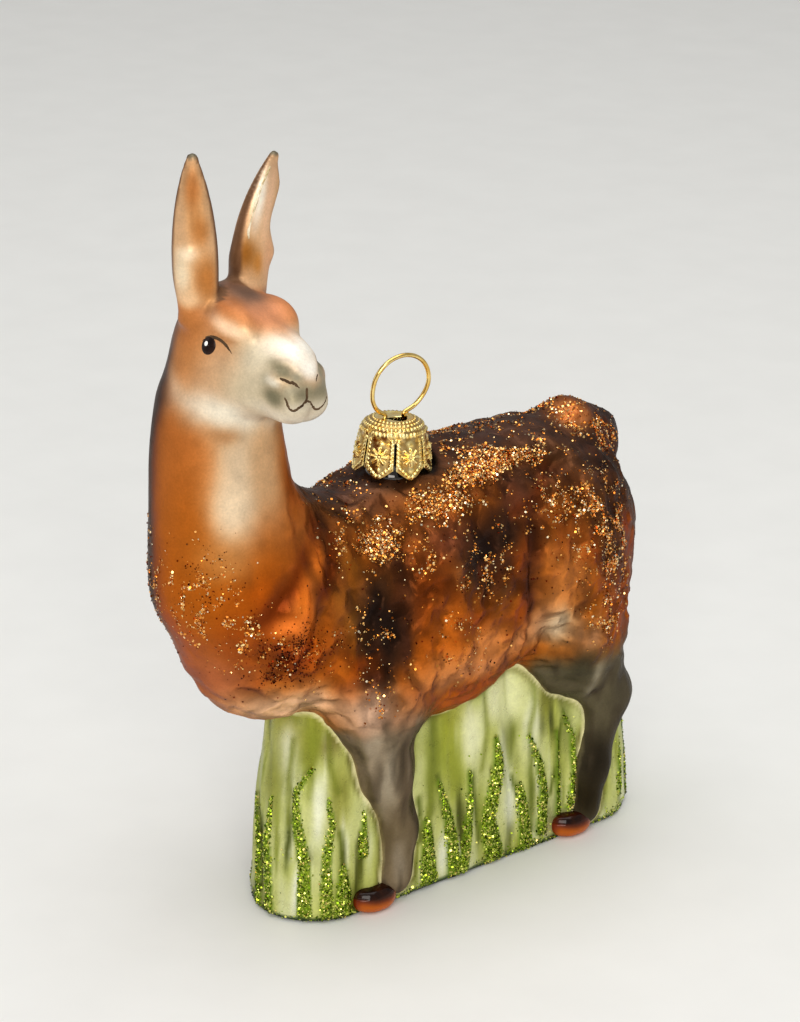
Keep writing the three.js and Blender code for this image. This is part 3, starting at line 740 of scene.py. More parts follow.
BODY_FOLDS = ridges(
    (1.5, -0.65, (7.6, -29.4, 62), (9.6, -33.6, 58), (11.3, -37.4, 54.6), (11.2, -41, 50.6)),
    (1.2, -0.45, (8.8, -27.1, 59.6), (10.8, -29, 55.8), (12.4, -31.4, 50), (12.4, -33, 46.6)),
    (1.4, -0.65, (13.3, 6.6, 56.2), (15, 4.8, 49.4), (15.6, 5.2, 42), (13.6, 8.7, 35.6)),
    (1.2, -0.45, (11, -25.6, 57), (13.2, -25, 49), (14, -24.6, 40)),
    (1.3, -0.45, (12.4, -17, 55), (14.8, -16.8, 47), (15.4, -17.5, 39)),
    (1.3, -0.35, (12, 14, 57), (14.6, 13.6, 50), (15.6, 13, 42)),
    (1.2, -0.4, (8, 12, 62.6), (11, 9, 58.6), (12.6, 3, 57)),
    (1, -0.4, (14.6, -24, 38.6), (12.8, -29.6, 38.6), (11.2, -34, 40.2), (9.4, -39, 41)),
    (0.8, -0.25, (12.4, -28, 35.6), (10.2, -34, 36.6), (6.4, -39.4, 37.6)),
    (1.5, -0.3, (8, 20.6, 60), (12, 21, 52), (14, 20, 44)),
    (0.8, 0.3, (13.2, -26.4, 34), (11.6, -22.6, 25), (10.6, -19.4, 14)),
    (0.9, -0.3, (14.6, -16.5, 34), (12, -15.4, 24), (11, -13.4, 14)),
    (0.9, 0.25, (14, -20.8, 32), (12.9, -19.4, 22), (11.4, -17, 12)),
    (1, 0.35, (13.6, 12.6, 35), (13, 18, 27), (10.8, 20, 16)),
    (0.9, -0.35, (14, 17.6, 36), (13.2, 21.6, 27), (11, 22.6, 17)),
)
HEAD_SWELLS = patches(
    (15.6, 4.3, 0.9, 1.6, 1.3, 1.1, 0.4), (6, 6.9, 1, 2.3, 1.6, 1.7, -0.25),
    (9.6, 5.7, 1.8, 2.2, 1.6, 1.6, -0.35), (12.4, 4.8, -1, 2.8, 1.4, 2.4, -0.25),
    (18.6, -0.6, 1.2, 1.2, 1.1, 1, 0.15), (14.2, 1, 4.4, 4, 2.4, 1.4, 0.25),
    (-3.4, 6, 3.6, 2.4, 2.4, 2.6, -0.6), (6.8, 5.6, 4.2, 3.4, 1.8, 1, -0.12),
)
HEAD_FOLDS = ridges(
    (0.6, -0.28, (14.3, 4.9, 1), (14.9, 4.2, 2.4), (16.2, 2.9, 3), (17.6, 2.2, 2.4)),
    (0.35, -0.18, (16.4, 4.1, 1.6), (17.4, 3.4, 1.5), (18.5, 2.4, 1)),
    (0.9, 0.18, (-1.7, 7.2, -4.5), (1.4, 8, -5.9), (4.2, 8.2, -7.2), (8.8, 6.3, -7.9)),
)
MOUTH_LINE = (
    (17.8, 3.9, -0.6), (18.2, 3.8, -1.0), (18.6, 3.7, -1.5), (19.2, 3.2, -2.0), (19.5, 2.4, -1.5),
    (19.5, 1.3, -0.9), (19.5, 0.5, -1.0), (19.6, -0.2, -1.8), (19.7, -0.8, -2.2), (19.7, -1.6, -2.0),
    (19.5, -2.4, -1.4), (19.0, -3.1, -0.9),
)
MOUTH_FOLDS = ridges((0.4, -0.16, *MOUTH_LINE), (0.45, -0.2, (19, 1.2, 1.2), (19.5, 1.2, -0.8)))
RIGHT_EAR_SWELLS = patches(
    (0.39, -0.8, 2, 0.045, 1.6, 1.6, 0.3), (0.64, 0.4, 1.8, 0.22, 0.8, 1.4, -0.35),
    (0.2, 1.1, 2.4, 0.1, 0.8, 1.4, -0.35),
)
LEFT_EAR_SWELLS = patches(
    (0.31, 2.6, 1.2, 0.08, 1, 1.6, 0.55), (0.52, 2.4, 1, 0.09, 1, 1.4, -0.4),
    (0.78, 1.6, 0.8, 0.1, 0.9, 1.2, 0.4), (0.24, -3.2, 0.4, 0.1, 0.9, 1.6, 0.5),
)
# the right ear's root fold, on a blade taken as 24 mm long
EAR_STRETCH = (24, 1, 1)
EAR_FOLDS = ridges((0.55, 0.3, (3.6, 2.9, 1), (2.88, 3, 1.8), (1.68, 2.4, 2.6)))

BODY_SPRAYS = sprays(
    ("#9A4708", 11, -41, 52, 9, 9, 13, 0.9), ("#8A3A05", 10.6, -43, 47, 5, 5, 4.4, 0.7),
    ("#A5604A", 4, -46, 40, 12, 7, 7, 0.7), ("#C08458", 8.5, -35, 35.6, 9, 9, 4.2, 0.85),
    ("#3B2519", 0, -2, 67.6, 13, 28, 11, 1), ("#5A4540", 0, -19, 63.4, 8, 9, 4.6, 0.8),
    ("#57433E", 2.5, 10, 65.6, 8, 12, 4.2, 0.75), ("#4A3630", 8, 20, 59, 9, 7, 7, 0.9),
    ("#3B2A22", 0, 30, 52, 12, 7, 16, 0.85), ("#4A2D16", 14.6, 19, 50.4, 5, 5.5, 6.4, 0.92),
    ("#6E3718", 13, -4, 55, 6, 17, 6, 0.75), ("#7A4538", 11, 4.6, 58.6, 4, 4, 3, 0.7),
    ("#8C4A3A", 13, -9, 56.4, 4, 3.4, 3, 0.55), ("#86501C", 12.6, -27.4, 51, 4, 3, 7.4, 0.75),
    ("#A8702C", 12.8, -26.4, 47.6, 3, 1.8, 2.4, 0.5), ("#5E2506", 14.6, -13.6, 47.6, 4, 4.6, 7, 0.85),
    ("#1C120E", 13.6, -21.4, 47.6, 5, 4.4, 7, 1), ("#241610", 14.6, -22.4, 41.8, 4, 3.7, 5.2, 1),
    ("#35190E", 14, -23.6, 36.8, 3, 3.2, 2.6, 0.85), ("#1E1614", 15, -3.2, 51.6, 5, 5.4, 6.6, 1),
    ("#2B1C15", 13.4, 0.4, 56, 4, 3, 3, 0.75), ("#4C2414", 15.6, 3.4, 45, 4, 2, 7, 0.7),
    ("#B2551A", 15, 12, 50, 5, 4.2, 4, 0.75), ("#8A5A1E", 11.4, -25.4, 56, 3, 2.4, 3, 0.5),
    ("#D08A58", 14.6, 4.4, 38.4, 4, 5, 2.6, 0.85), ("#B7560C", 15.4, -10.5, 41, 5, 4.6, 4.2, 0.9),
    ("#C98252", 15, -9, 36.4, 9, 11, 2.8, 0.95), ("#8A4416", 14.8, 21.4, 41.6, 4, 3.6, 4.6, 0.7),
    ("#8A2A08", 12, -34.6, 45.4, 3.4, 4.4, 3, 0.6),
)
# painted highlights: bright orange patches on the bulges of the chest, shoulder, flank and belly, and a
# pale patch that lightens the shaded underside of the chest
BODY_PAINTED_HIGHLIGHTS = sprays(
    ("#FF8428", 12.1, -34.8, 53.4, 3.4, 2.2, 5, 1), ("#F58030", 11.8, -37.6, 50.2, 3.2, 2.8, 1.4, 0.95),
    ("#FF8428", 10.3, -30.6, 58.4, 3.2, 1.6, 4.4, 1), ("#B8671E", 12.4, -27.6, 50.4, 3, 1.2, 5, 0.5),
    ("#D4803C", 15.2, 10.4, 44.6, 5, 4.4, 6, 0.9), ("#E6A066", 14.2, 7.6, 39.8, 4, 3.6, 3.2, 0.9),
    ("#DE8A4A", 15.6, -4.4, 39.8, 5, 5.2, 2.6, 0.85), ("#C4641A", 15.4, -11.5, 43.6, 5, 3.4, 5.2, 0.75),
    ("#D2803E", 15.2, -13, 38.2, 5, 4.6, 2.2, 0.7), ("#B85A14", 12.3, -31, 44.8, 4, 3, 5, 0.6),
    ("#F2C096", 8.4, -34, 35, 10, 10, 3.8, 0.97),
)
# painted shade: dark lines along the creases of the shoulder, flank and haunch
BODY_CREASE_SHADE = strokes(
    ("#5E2204", 1.7, 0.9, (7.8, -29.4, 62), (9.8, -33.2, 58.4), (11.3, -36.6, 55), (11.2, -40.6, 51)),
    ("#5A2207", 1.2, 0.8, (8.8, -26.6, 59.4), (10.6, -28.4, 56.4), (12, -31, 52.8)),
    ("#4A2413", 1.5, 0.8, (13.3, 6.4, 56.2), (15, 4.8, 49.4), (15.6, 5, 42), (14.4, 8, 36.6)),
    ("#3E2118", 1.5, 0.75, (12.6, -17, 55), (14.4, -17.4, 49), (15, -18.4, 42)),
    ("#52301E", 1, 0.5, (12, 14.6, 56), (15, 14.4, 47), (15.8, 14.6, 41)),
    ("#4A2114", 1.1, 0.65, (14.4, -24, 39.4), (13.4, -29, 39), (11.6, -34, 40.6)),
    ("#6A2C10", 1, 0.6, (9, 12, 61), (11.6, 8, 58), (12.8, 3, 56.6)),
    ("#4F2A18", 1.3, 0.6, (8, 21.6, 60), (12.4, 22, 51), (14.4, 20.4, 42)),
)
# the pale patches down the front of the neck are pale paint brightened as a painted highlight, and the
# broad dark patch on its right side (#56382A) is painted shade
NECK_SPRAYS_AND_SHADING = sprays(
    ("#A3530F", 4, -47.4, 60, 7, 4, 12, 0.8), ("#C49E74", 8.4, -39.6, 76, 5.2, 6, 9, 0.97),
    ("#D3BB9C", 8.4, -41.8, 73, 4, 3, 8, 0.85), ("#DCC4A4", 8, -42.8, 67.4, 4.2, 3.4, 5, 0.95),
    ("#CFA478", 8.6, -37.6, 72, 4, 2.8, 8, 0.85), ("#B9834C", 7.6, -44.4, 60.4, 5, 3.6, 3.4, 0.6),
    ("#9C4E14", 7.2, -32.6, 68, 3, 2, 5.4, 0.85), ("#56382A", -8.2, -42, 69, 4.6, 6, 17, 0.8),
)
# the first line runs down the neck's front edge on its right: dark paint that is also the painted shade
# along that edge; the second is the dark nape
NAPE_STRIPES_AND_SHADE = strokes(
    ("#33221E", 3, 0.96, (-5.6, -42.4, 91), (-4.4, -44.8, 86), (-3, -46.8, 81.4), (-4.2, -48.2, 76),
     (-4.5, -49.2, 66), (-4.9, -49.4, 57), (-4.6, -47.6, 48)),
    ("#4B3A38", 5.4, 0.5, (-7.8, -33, 90), (-7.4, -33, 76), (-6, -29, 66), (0, -22, 64)),
)
# the narrow pale grey streaks on the legs' ridges (#A3937C, #96876F, #B9AE98, #A8A08E, #A59B88, #9C9080)
# are painted highlights, and the dark streaks in their creases (#4E4131, #332C22) are painted shade
LEG_SPRAYS_AND_SHADING = sprays(
    ("#A3937C", 13, -22.6, 27, 3.2, 1.7, 6, 0.85), ("#96876F", 12, -19.4, 17, 3.2, 1.2, 7, 0.8),
    ("#4E4131", 13.6, -16.6, 25, 3, 1.6, 9, 0.7), ("#CBA488", 13.6, -24.5, 33.6, 4.6, 3.6, 3.6, 0.95),
    ("#B48C78", 13.4, -19, 33, 4, 4, 3, 0.7), ("#D2BC9C", 14.4, 10.6, 38, 4, 3.2, 3.4, 0.9),
    ("#B48A6C", 15, 15.6, 35.4, 3.6, 3, 3, 0.6), ("#1F1A12", 11.4, 21.4, 12, 3.4, 3.4, 5.4, 0.92),
    ("#3B352A", 11, 25, 24, 4, 2.2, 6, 0.75), ("#3A3626", 14.6, 15.4, 30, 3, 2.8, 3.6, 0.75),
    ("#B9AE98", 13.6, 18.8, 29.6, 2, 0.9, 4.6, 0.7), ("#A8A08E", 12.6, 18.4, 22, 2, 0.9, 5, 0.5),
    ("#A59B88", 12.7, -20.2, 23, 2, 1, 8, 0.6), ("#332C22", 11.4, -13.6, 20, 3, 1.5, 12, 0.7),
    ("#57492F", 11, -17.4, 10, 3.4, 3.4, 5.6, 0.6), ("#1E180C", 10.6, 20.4, 6, 2.8, 3.2, 3.4, 0.92),
    ("#9C9080", 11.4, -16.6, 7.4, 1.6, 1.2, 4, 0.55),
)
# the bright cream patch over the eye (#FFD9B4) is a painted highlight on the brow ridge, and the brown
# below it (#A06A3E) is painted shade between brow and lid
HEAD_SPRAYS_AND_BROW_SHADING = sprays(
    ("#9C937A", 18.4, 1.5, -0.6, 3.6, 5, 3.4, 1), ("#D6CDB9", 17, 1.6, -4.2, 5, 5, 2.8, 1),
    ("#C29A74", 7.6, 6.5, -2.6, 7.4, 5, 6.2, 0.9), ("#BFB094", 12.8, 4.8, -1.6, 4.8, 4, 6, 0.98),
    ("#DCD2BF", 10, 5, -7, 9.5, 6, 2.6, 0.97), ("#B4733C", 1, 7.6, -1.5, 4, 3.2, 5, 0.9),
    ("#A5622F", 0.6, 7, 1.4, 2.6, 2.4, 2.4, 0.55), ("#CC8860", 6.6, 0, 6.8, 5, 4.4, 3, 0.97),
    ("#C9A37A", 10, 4.6, 3.6, 3.2, 1.8, 1.6, 0.8), ("#FFD9B4", 7, 5.7, 4.5, 3.8, 1.6, 1.15, 0.9),
    ("#A06A3E", 7.6, 6.5, 2.95, 2.6, 1.2, 0.55, 0.7), ("#644E42", 2.9, 0.2, 7.4, 3.1, 2.8, 2.3, 0.97),
    ("#5C4A46", -1.6, 1, 6.8, 2.4, 4, 2.6, 0.7), ("#7A5A44", 2.6, 5.6, 5.4, 2, 1.4, 1.6, 0.5),
    ("#C9BDA3", 11.8, 3.9, 2.4, 3.2, 2.4, 2.8, 0.9), ("#EFE9DC", 14.4, 1, 4.1, 4.2, 3, 2.2, 1),
    ("#F1ECE0", 17.4, 0, 3, 1.8, 1.8, 1.4, 0.95), ("#746D56", 15.8, 3.4, 2.4, 2.5, 1.2, 0.9, 1),
    ("#8F8770", 17.6, 2.2, 2, 1, 0.9, 0.8, 0.95), ("#A59C84", 14.2, 4.9, 0.8, 0.7, 0.9, 1.4, 0.7),
    ("#D9D1BF", 15.5, 4.3, 0.6, 1.2, 1, 0.7, 0.9), ("#6F6952", 16.4, 4.4, -1.2, 1.9, 1.3, 1.2, 1),
    ("#958D77", 18.2, 3, 0.3, 1, 1.2, 0.8, 0.8), ("#7C745C", 19.2, 1.4, 0, 1.2, 2.6, 1.1, 0.85),
    ("#C8BFAB", 19.4, 2, -1.9, 1.4, 2.6, 0.7, 0.6), ("#DDD5C4", 17, 2, -4, 4, 4, 1.6, 0.85),
)
# the first line is painted shade under the jaw
HEAD_STRIPES_AND_JAW_SHADE = strokes(
    ("#A8764A", 1.1, 0.8, (-1.7, 7, -7), (2.6, 7.8, -9.4), (8.6, 6.2, -10.4), (13.5, 3.4, -9.4)),
    ("#E6DAC4", 1, 0.3, (-1.2, 7.4, -4.4), (2.4, 8.2, -6.4), (7.6, 7, -7.8), (13, 4.6, -6.8)),
    ("#4A3833", 1.4, 0.7, (-5.2, 4.6, 6), (-3.6, 6.2, 3.4), (-3, 7, -1), (-2.6, 7.2, -6)),
)
EAR_TINTS = {"rim": "#5A3D2A", "coat": "#CBA178", "tip": "#66604F", "back": "#5A4236"}
# places on an ear are (share of its length, across, outward)
# the cream crescent on the right ear's raised fold (#F3DCBC) is a painted highlight
RIGHT_EAR_SPRAYS_AND_HIGHLIGHT = sprays(
    ("#B9804A", 0.66, 0.4, 1.6, 0.24, 1.3, 1.5, 0.8), ("#9A5A28", 0.8, 0, 1.2, 0.13, 1.2, 1.5, 0.75),
    ("#A4652F", 0.53, 0.9, 1.7, 0.09, 1.2, 1.5, 0.75), ("#F3DCBC", 0.385, -0.9, 2, 0.05, 1.5, 1.5, 0.9),
    ("#E0CDAE", 0.26, -1.6, 1.7, 0.13, 1.3, 1.5, 0.9), ("#A8682F", 0.22, 1.6, 1.9, 0.16, 1.7, 1.8, 0.9),
    ("#DDB68C", 0.1, -0.9, 2.2, 0.06, 1.3, 1.5, 0.75),
)
# the near-white patch beside the left ear's crease (#F6EAD8) is a painted highlight
LEFT_EAR_SPRAYS_AND_HIGHLIGHT = sprays(
    ("#E2B896", 0.66, 0.2, 1.4, 0.3, 1, 1.5, 0.85), ("#F6EAD8", 0.68, -1.5, 1, 0.24, 0.9, 1.5, 1),
    ("#C89C74", 0.62, -2.8, 0.5, 0.3, 0.9, 1.8, 0.8), ("#8A5218", 0.29, -2.3, 1.2, 0.11, 1.6, 1.9, 0.9),
    ("#B0702C", 0.24, -0.6, 2.2, 0.08, 0.9, 1.5, 0.8), ("#D5A078", 0.28, 1.5, 2, 0.14, 1.2, 1.5, 0.85),
)
# the bright orange patch on the tail's top (#DE8344) is a painted highlight
TAIL_SPRAYS_AND_HIGHLIGHT = sprays(
    ("#3F2B26", 0, 27, 60, 8, 7, 6, 0.92), ("#DE8344", 3.4, 22.6, 65.6, 3.8, 3.4, 2.4, 0.95),
    ("#6E3A2A", 5, 28, 60.6, 2.4, 2.6, 3.6, 0.7),
)


@dataclass
class LlamaMould:
    """Relief that the mould gives the llama's skin, and the colours brushed over it, painted highlights and
    painted shade among them.
    """

    form: LlamaForm
    grass: GrassBlock
    ground: str = "#A9560F"

    def wool_cover(self, p: Array) -> Array:
        """Where the coat is modelled: the trunk, less on the neck, none on legs and face."""
        z, y = p[:, 2], p[:, 1]
        flank = ramp(z, 27, 36) * (0.25 + 0.75 * ramp(z, 69, 60)) * (0.15 + 0.85 * ramp(y, -46, -36))
        return unit(flank) * ramp(z, 84, 74)

    def curls(self, p: Array) -> Array:
        """Where the coat curls: back, flanks and belly, not the smooth neck and chest."""
        smooth = ramp(p[:, 1], -28, -36) * ramp(p[:, 2], 44, 50)
        return self.wool_cover(p) * (1 - 0.9 * smooth)

    def gleam(self, p: Array) -> Array:
        """How far the silver shows through: fully on the coat, less under the face's thicker paint."""
        return 1 - 0.62 * ramp(p[:, 2], 76, 85) * ramp(p[:, 2], 108, 100)

    def tangles(self, p: Array, cell: Point = (2.6, 2.3, 3.6), seed: int = 5) -> Array:
        """Folded noise of the coat's locks: 0 on their crests and up to 2 between them."""
        bent = p + 0.9 * grain(p, (2.4, 2.4, 2.4), 9)[:, None]
        return np.abs(grain(bent, cell, seed)) * 2

    def rise(self, p: Array) -> Array:
        """Relief outward at each point, in millimetres."""
        wool, z = self.wool_cover(p), p[:, 2]
        slanted = np.stack([p[:, 0], p[:, 1] + 1.2 * z, z], -1)
        lift = wool * 0.6 * folds(p, (3.4, 3.0, 6.4), 3) + wool * 0.27 * (1 - self.tangles(p))
        lift += wool * 0.05 * (1 - self.tangles(p, (1.2, 1.1, 1.6), 15))
        belly = ramp(z, 46, 38) * ramp(z, 26, 31)
        lift += 0.24 * belly * (1 - np.abs(grain(slanted, (3.6, 3.4, 1.5), 11)) * 2)
        lift = added(lift, BODY_SWELLS + BODY_FOLDS, mirrored(p))
        lift += 0.34 * ramp(z, 33, 26) * folds(p, (2.0, 2.0, 7.0), 21)
        head, level = self.form.in_head(p), self.form.in_level(p)
        lift = added(lift, HEAD_SWELLS + HEAD_FOLDS, mirrored(head, 1))
        lift = added(lift, MOUTH_FOLDS, head)
        near = self.form.right_ear.blade_place(level)
        lift = added(lift, RIGHT_EAR_SWELLS, near)
        lift = added(lift, LEFT_EAR_SWELLS, self.form.left_ear.blade_place(level))
        return added(lift, EAR_FOLDS, near * np.array(EAR_STRETCH)) * ramp(self.form.seat(p), 0.2, 2.2)

    def base_colour(self, p: Array) -> Array:
        """Body colours in sRGB, from belly to back and from chest to rump, with painted shade in the coat's
        hollows and painted highlight on its crests.
        """
        warped = wander(p, 1.3, (4, 4, 5), 31)
        warp = warped - p
        y, z = p[:, 1], p[:, 2]
        wool, lumps = self.wool_cover(p), folds(p, (3.4, 3.0, 6.4), 3)
        smoke, rust = folds(p, (5.2, 4.6, 5.4), 47), folds(p, (4.4, 4.0, 4.6), 49)
        locks = folds(p, (2.4, 3.2, 3.4), 41)
        colour = layered(
            lay(np.tile(srgb(self.ground), (len(p), 1)), BODY_SPRAYS, mirrored(warped)),
            # painted shade in the hollows of the coat's folds and between its locks, and painted highlight
            # on the folds' crests, from the noise that raises them
            ("#33190C", 0.8 * patchy(lumps, -1, -0.1) * wool * ramp(z, 40, 50)),
            ("#DE8A4C", 0.8 * patchy(lumps, 1, -0.2) * wool * ramp(z, 60, 48)),
            ("#4A2210", 0.4 * patchy(self.tangles(p), 1, -0.75) * wool * ramp(y, -46, -34)),
            ("#2C1D18", 0.95 * patchy(smoke, 1, 0.05) * wool * ramp(z, 46, 54)),
            ("#B84C0A", 0.9 * patchy(rust, 1, -0.05) * wool * ramp(z, 62, 52)),
            ("#7E4622", 0.7 * patchy(locks) * ramp(z, 52, 60) * ramp(y, -34, -26)),
        )
        # painted highlights on the bulges
        colour = lay(colour, BODY_PAINTED_HIGHLIGHTS, mirrored(p + 0.5 * warp))
        # painted shade along the creases
        return lay(colour, BODY_CREASE_SHADE, mirrored(p + 0.6 * warp))

    def neck_colour(self, colour: Array, p: Array) -> Array:
        """Neck, chest and nape over the body colours."""
        q = wander(p, 0.9, (4, 4, 6), 51)
        colour = layered(colour, ("#B0642C", 0.92 * ramp(q[:, 2], 56, 66) * ramp(q[:, 1], -27, -32)))
        return lay(colour, NECK_SPRAYS_AND_SHADING, q)

    def leg_colour(self, colour: Array, p: Array) -> Array:
        """Beige tops, grey-brown shins, painted highlights on the legs' ridges and dark painted shadows of
        the legs.
        """
        q, pair = mirrored(wander(p, 0.8, (3, 3, 6), 61)), mirrored(p)
        gap = np.minimum(
            limb(pair, (9.3, -19.5, 32), (8.4, -16, 2), 6.2, 5.0),
            limb(pair, (8.8, 18.4, 33), (8.4, 25.4, 21), 8.6, 7.0),
        )
        gap = np.minimum(gap, limb(pair, (8.4, 25.4, 21), (8.0, 21.3, 2), 7.0, 5.4))
        leg, front = ramp(q[:, 2], 35, 29) * ramp(gap, 2.4, 0.2), ramp(q[:, 1], 2, -2)
        colour = layered(colour, ("#75654F", leg * front), ("#5C543F", leg * (1 - front)))
        colour = lay(colour, LEG_SPRAYS_AND_SHADING, q)
        streak = folds(p, (1.5, 1.5, 8.0), 67)
        return layered(
            colour, ("#332B20", 0.75 * patchy(streak, 1.3, -0.1) * leg),
            ("#B0A48E", 0.55 * patchy(streak, -1.3, -0.2) * leg * front),
        )

    def head_colour(self, colour: Array, p: Array) -> Array:
        """Face, brows, nape and muzzle, with painted highlight and shade at the brow, and painted shade
        under the jaw and along the neck's front edge.
        """
        head = self.form.in_head(p)
        here = ramp(p[:, 2], 79, 84) * ramp(head[:, 0] - 0.2 * head[:, 2], -8.5, -3)
        drift = wander(p, 0.5, (3, 3, 3), 71) - p
        colour = layered(colour, ("#B9733F", 0.95 * here))
        colour = lay(colour, HEAD_SPRAYS_AND_BROW_SHADING + HEAD_STRIPES_AND_JAW_SHADE, mirrored(head + drift, 1))
        return lay(colour, NAPE_STRIPES_AND_SHADE, wander(p, 0.9, (4, 4, 6), 51))

    def ear_colour(self, colour: Array, p: Array) -> Array:
        """Beige blades with dark rims, a brown middle, a grey knob at the tip and painted highlights on the
        folds.
        """
        level = self.form.in_level(p)
        for ear, marks in (
            (self.form.right_ear, RIGHT_EAR_SPRAYS_AND_HIGHLIGHT), (self.form.left_ear, LEFT_EAR_SPRAYS_AND_HIGHLIGHT),
        ):
            place = ear.blade_place(level)
            t, w, depth = place.T
            edge = np.abs(w) / ear.section(unit(t))[0]
            on = ramp(t, 0.02, 0.1) * (ear.form(level) < 0.9)
            colour = layered(colour, (EAR_TINTS["coat"], on))
            warp = np.stack([0.0 * t, 0.3 * folds(p, (2, 2, 4), 81), 0.0 * t], -1)
            colour = np.where(on[:, None] > 0, lay(colour, marks, place + warp), colour)
            colour = layered(
                colour,
                (EAR_TINTS["back"], on * ramp(-depth, 0.5, 1.8) * (0.3 + 0.5 * ramp(t, 0.5, 0.3))),
                (EAR_TINTS["rim"], on * 0.85 * ramp(edge, 0.84, 1.0)),
                (EAR_TINTS["tip"], on * 0.95 * ramp(t, 0.965, 0.985)),
            )
        return colour

    def colour(self, p: Array) -> Array:
        """Finished colour at each point, in sRGB, with a painted highlight along the seam with the grass
        and painted shadow with dark paint in the seat under the cap.
        """
        colour = lay(self.base_colour(p), TAIL_SPRAYS_AND_HIGHLIGHT, wander(p, 0.7, (3, 3, 3), 91))
        for brushed in (self.neck_colour, self.leg_colour, self.head_colour, self.ear_colour):
            colour = brushed(colour, p)
        # painted highlight: a pale cream line along the seam with the grass, in patches
        seam = ramp(self.grass.block(p), 0.7, 0.2) * ramp(p[:, 2], 3, 8)
        highlight_patches = 0.5 + 0.5 * patchy(grain(p, (4, 4, 4), 95), 1, 0.4)
        # near black in the seat under the cap: dark paint, and the cap's painted shadow
        under = ramp(self.form.seat(p), 0.7, 0.0)
        return unit(layered(colour, ("#D6C78C", 0.6 * seam * highlight_patches), ("#120C0A", 0.92 * under)))


# places on the grass are (millimetres round the block, height, 0)
GRASS_SPRAYS = sprays(
    ("#E6E6CE", 1.7, 24.5, 0, 2, 5, 1, 0.9), ("#E4E5CC", 8.2, 17.6, 0, 1.4, 6, 1, 0.9),
    ("#E2E3B8", 36.5, 22, 0, 2.6, 4.4, 1, 0.85), ("#E0E1B4", 41, 26.4, 0, 3, 4, 1, 0.9),
    ("#E6E7C8", 49, 21.6, 0, 2, 5, 1, 0.85), ("#E8E9D4", 44.4, 10, 0, 1.5, 5.4, 1, 0.9),
    ("#E6E7D0", 42.8, 16.6, 0, 1.2, 4, 1, 0.7), ("#D6D89A", 45, 25.6, 0, 2.6, 4.6, 1, 0.95),
    ("#EDEDE0", 6, 5, 0, 1.2, 4, 1, 0.9), ("#E9EADA", 31.2, 4, 0, 1.2, 4, 1, 0.8),
    ("#828A2C", 6.4, 27, 0, 1.8, 3.6, 1, 0.85), ("#86883A", -0.2, 21, 0, 2, 6, 1, 0.95),
    ("#767E24", 28.9, 20, 0, 1.6, 7, 1, 0.85), ("#868C2E", 33.4, 17.4, 0, 1.3, 5.4, 1, 0.7),
    ("#5C661A", 48.6, 9, 0, 0.9, 7, 1, 0.9), ("#7C7C26", 51.8, 23.4, 0, 1.4, 4, 1, 0.85),
    ("#DADCA6", 44.6, 25.6, 0, 2.2, 4.4, 1, 0.9), ("#7E8630", 38.4, 8, 0, 1.2, 6, 1, 0.85),
    ("#8C8A38", 11.4, 20, 0, 2, 5, 1, 0.7), ("#5A4A1E", 9.4, 27, 0, 1.4, 1.6, 1, 0.6),
    ("#3E4612", 3.8, 12, 0, 0.6, 4, 1, 0.9), ("#4E5216", 15.4, 9, 0, 0.7, 5, 1, 0.8),
)
GRASS_STRIPES = strokes(
    ("#4A5612", 0.5, 0.85, (26.2, 15, 0), (26.7, 8, 0)),
    ("#4C5814", 0.42, 0.85, (29.6, 17.6, 0), (30.8, 12, 0), (32.6, 6, 0)),
    ("#556018", 0.5, 0.8, (36.6, 16, 0), (37.6, 10, 0), (38.2, 4.6, 0)),
    ("#59641A", 0.5, 0.85, (55.2, 19, 0), (54, 13, 0), (52.6, 8, 0)),
    ("#4E5A14", 0.5, 0.85, (45, 13, 0), (46.4, 8.6, 0), (48.6, 3.2, 0)),
    ("#6C7426", 0.8, 0.8, (29.4, 29, 0), (28.4, 20, 0), (28.6, 12, 0)),
    ("#7C8432", 0.7, 0.7, (48.6, 30, 0), (49.4, 24, 0), (48.4, 19, 0)),
    ("#7A8030", 0.6, 0.7, (39, 29, 0), (39.6, 22, 0), (38.6, 16, 0)),
    ("#5C661C", 0.45, 0.8, (11.6, 14, 0), (12, 8, 0), (11.6, 3, 0)),
    ("#6E7428", 0.6, 0.75, (3, 27, 0), (2.6, 21, 0), (3.6, 15, 0)),
    ("#6A7024", 0.6, 0.75, (9, 29, 0), (9.6, 24, 0), (11, 20, 0)),
)


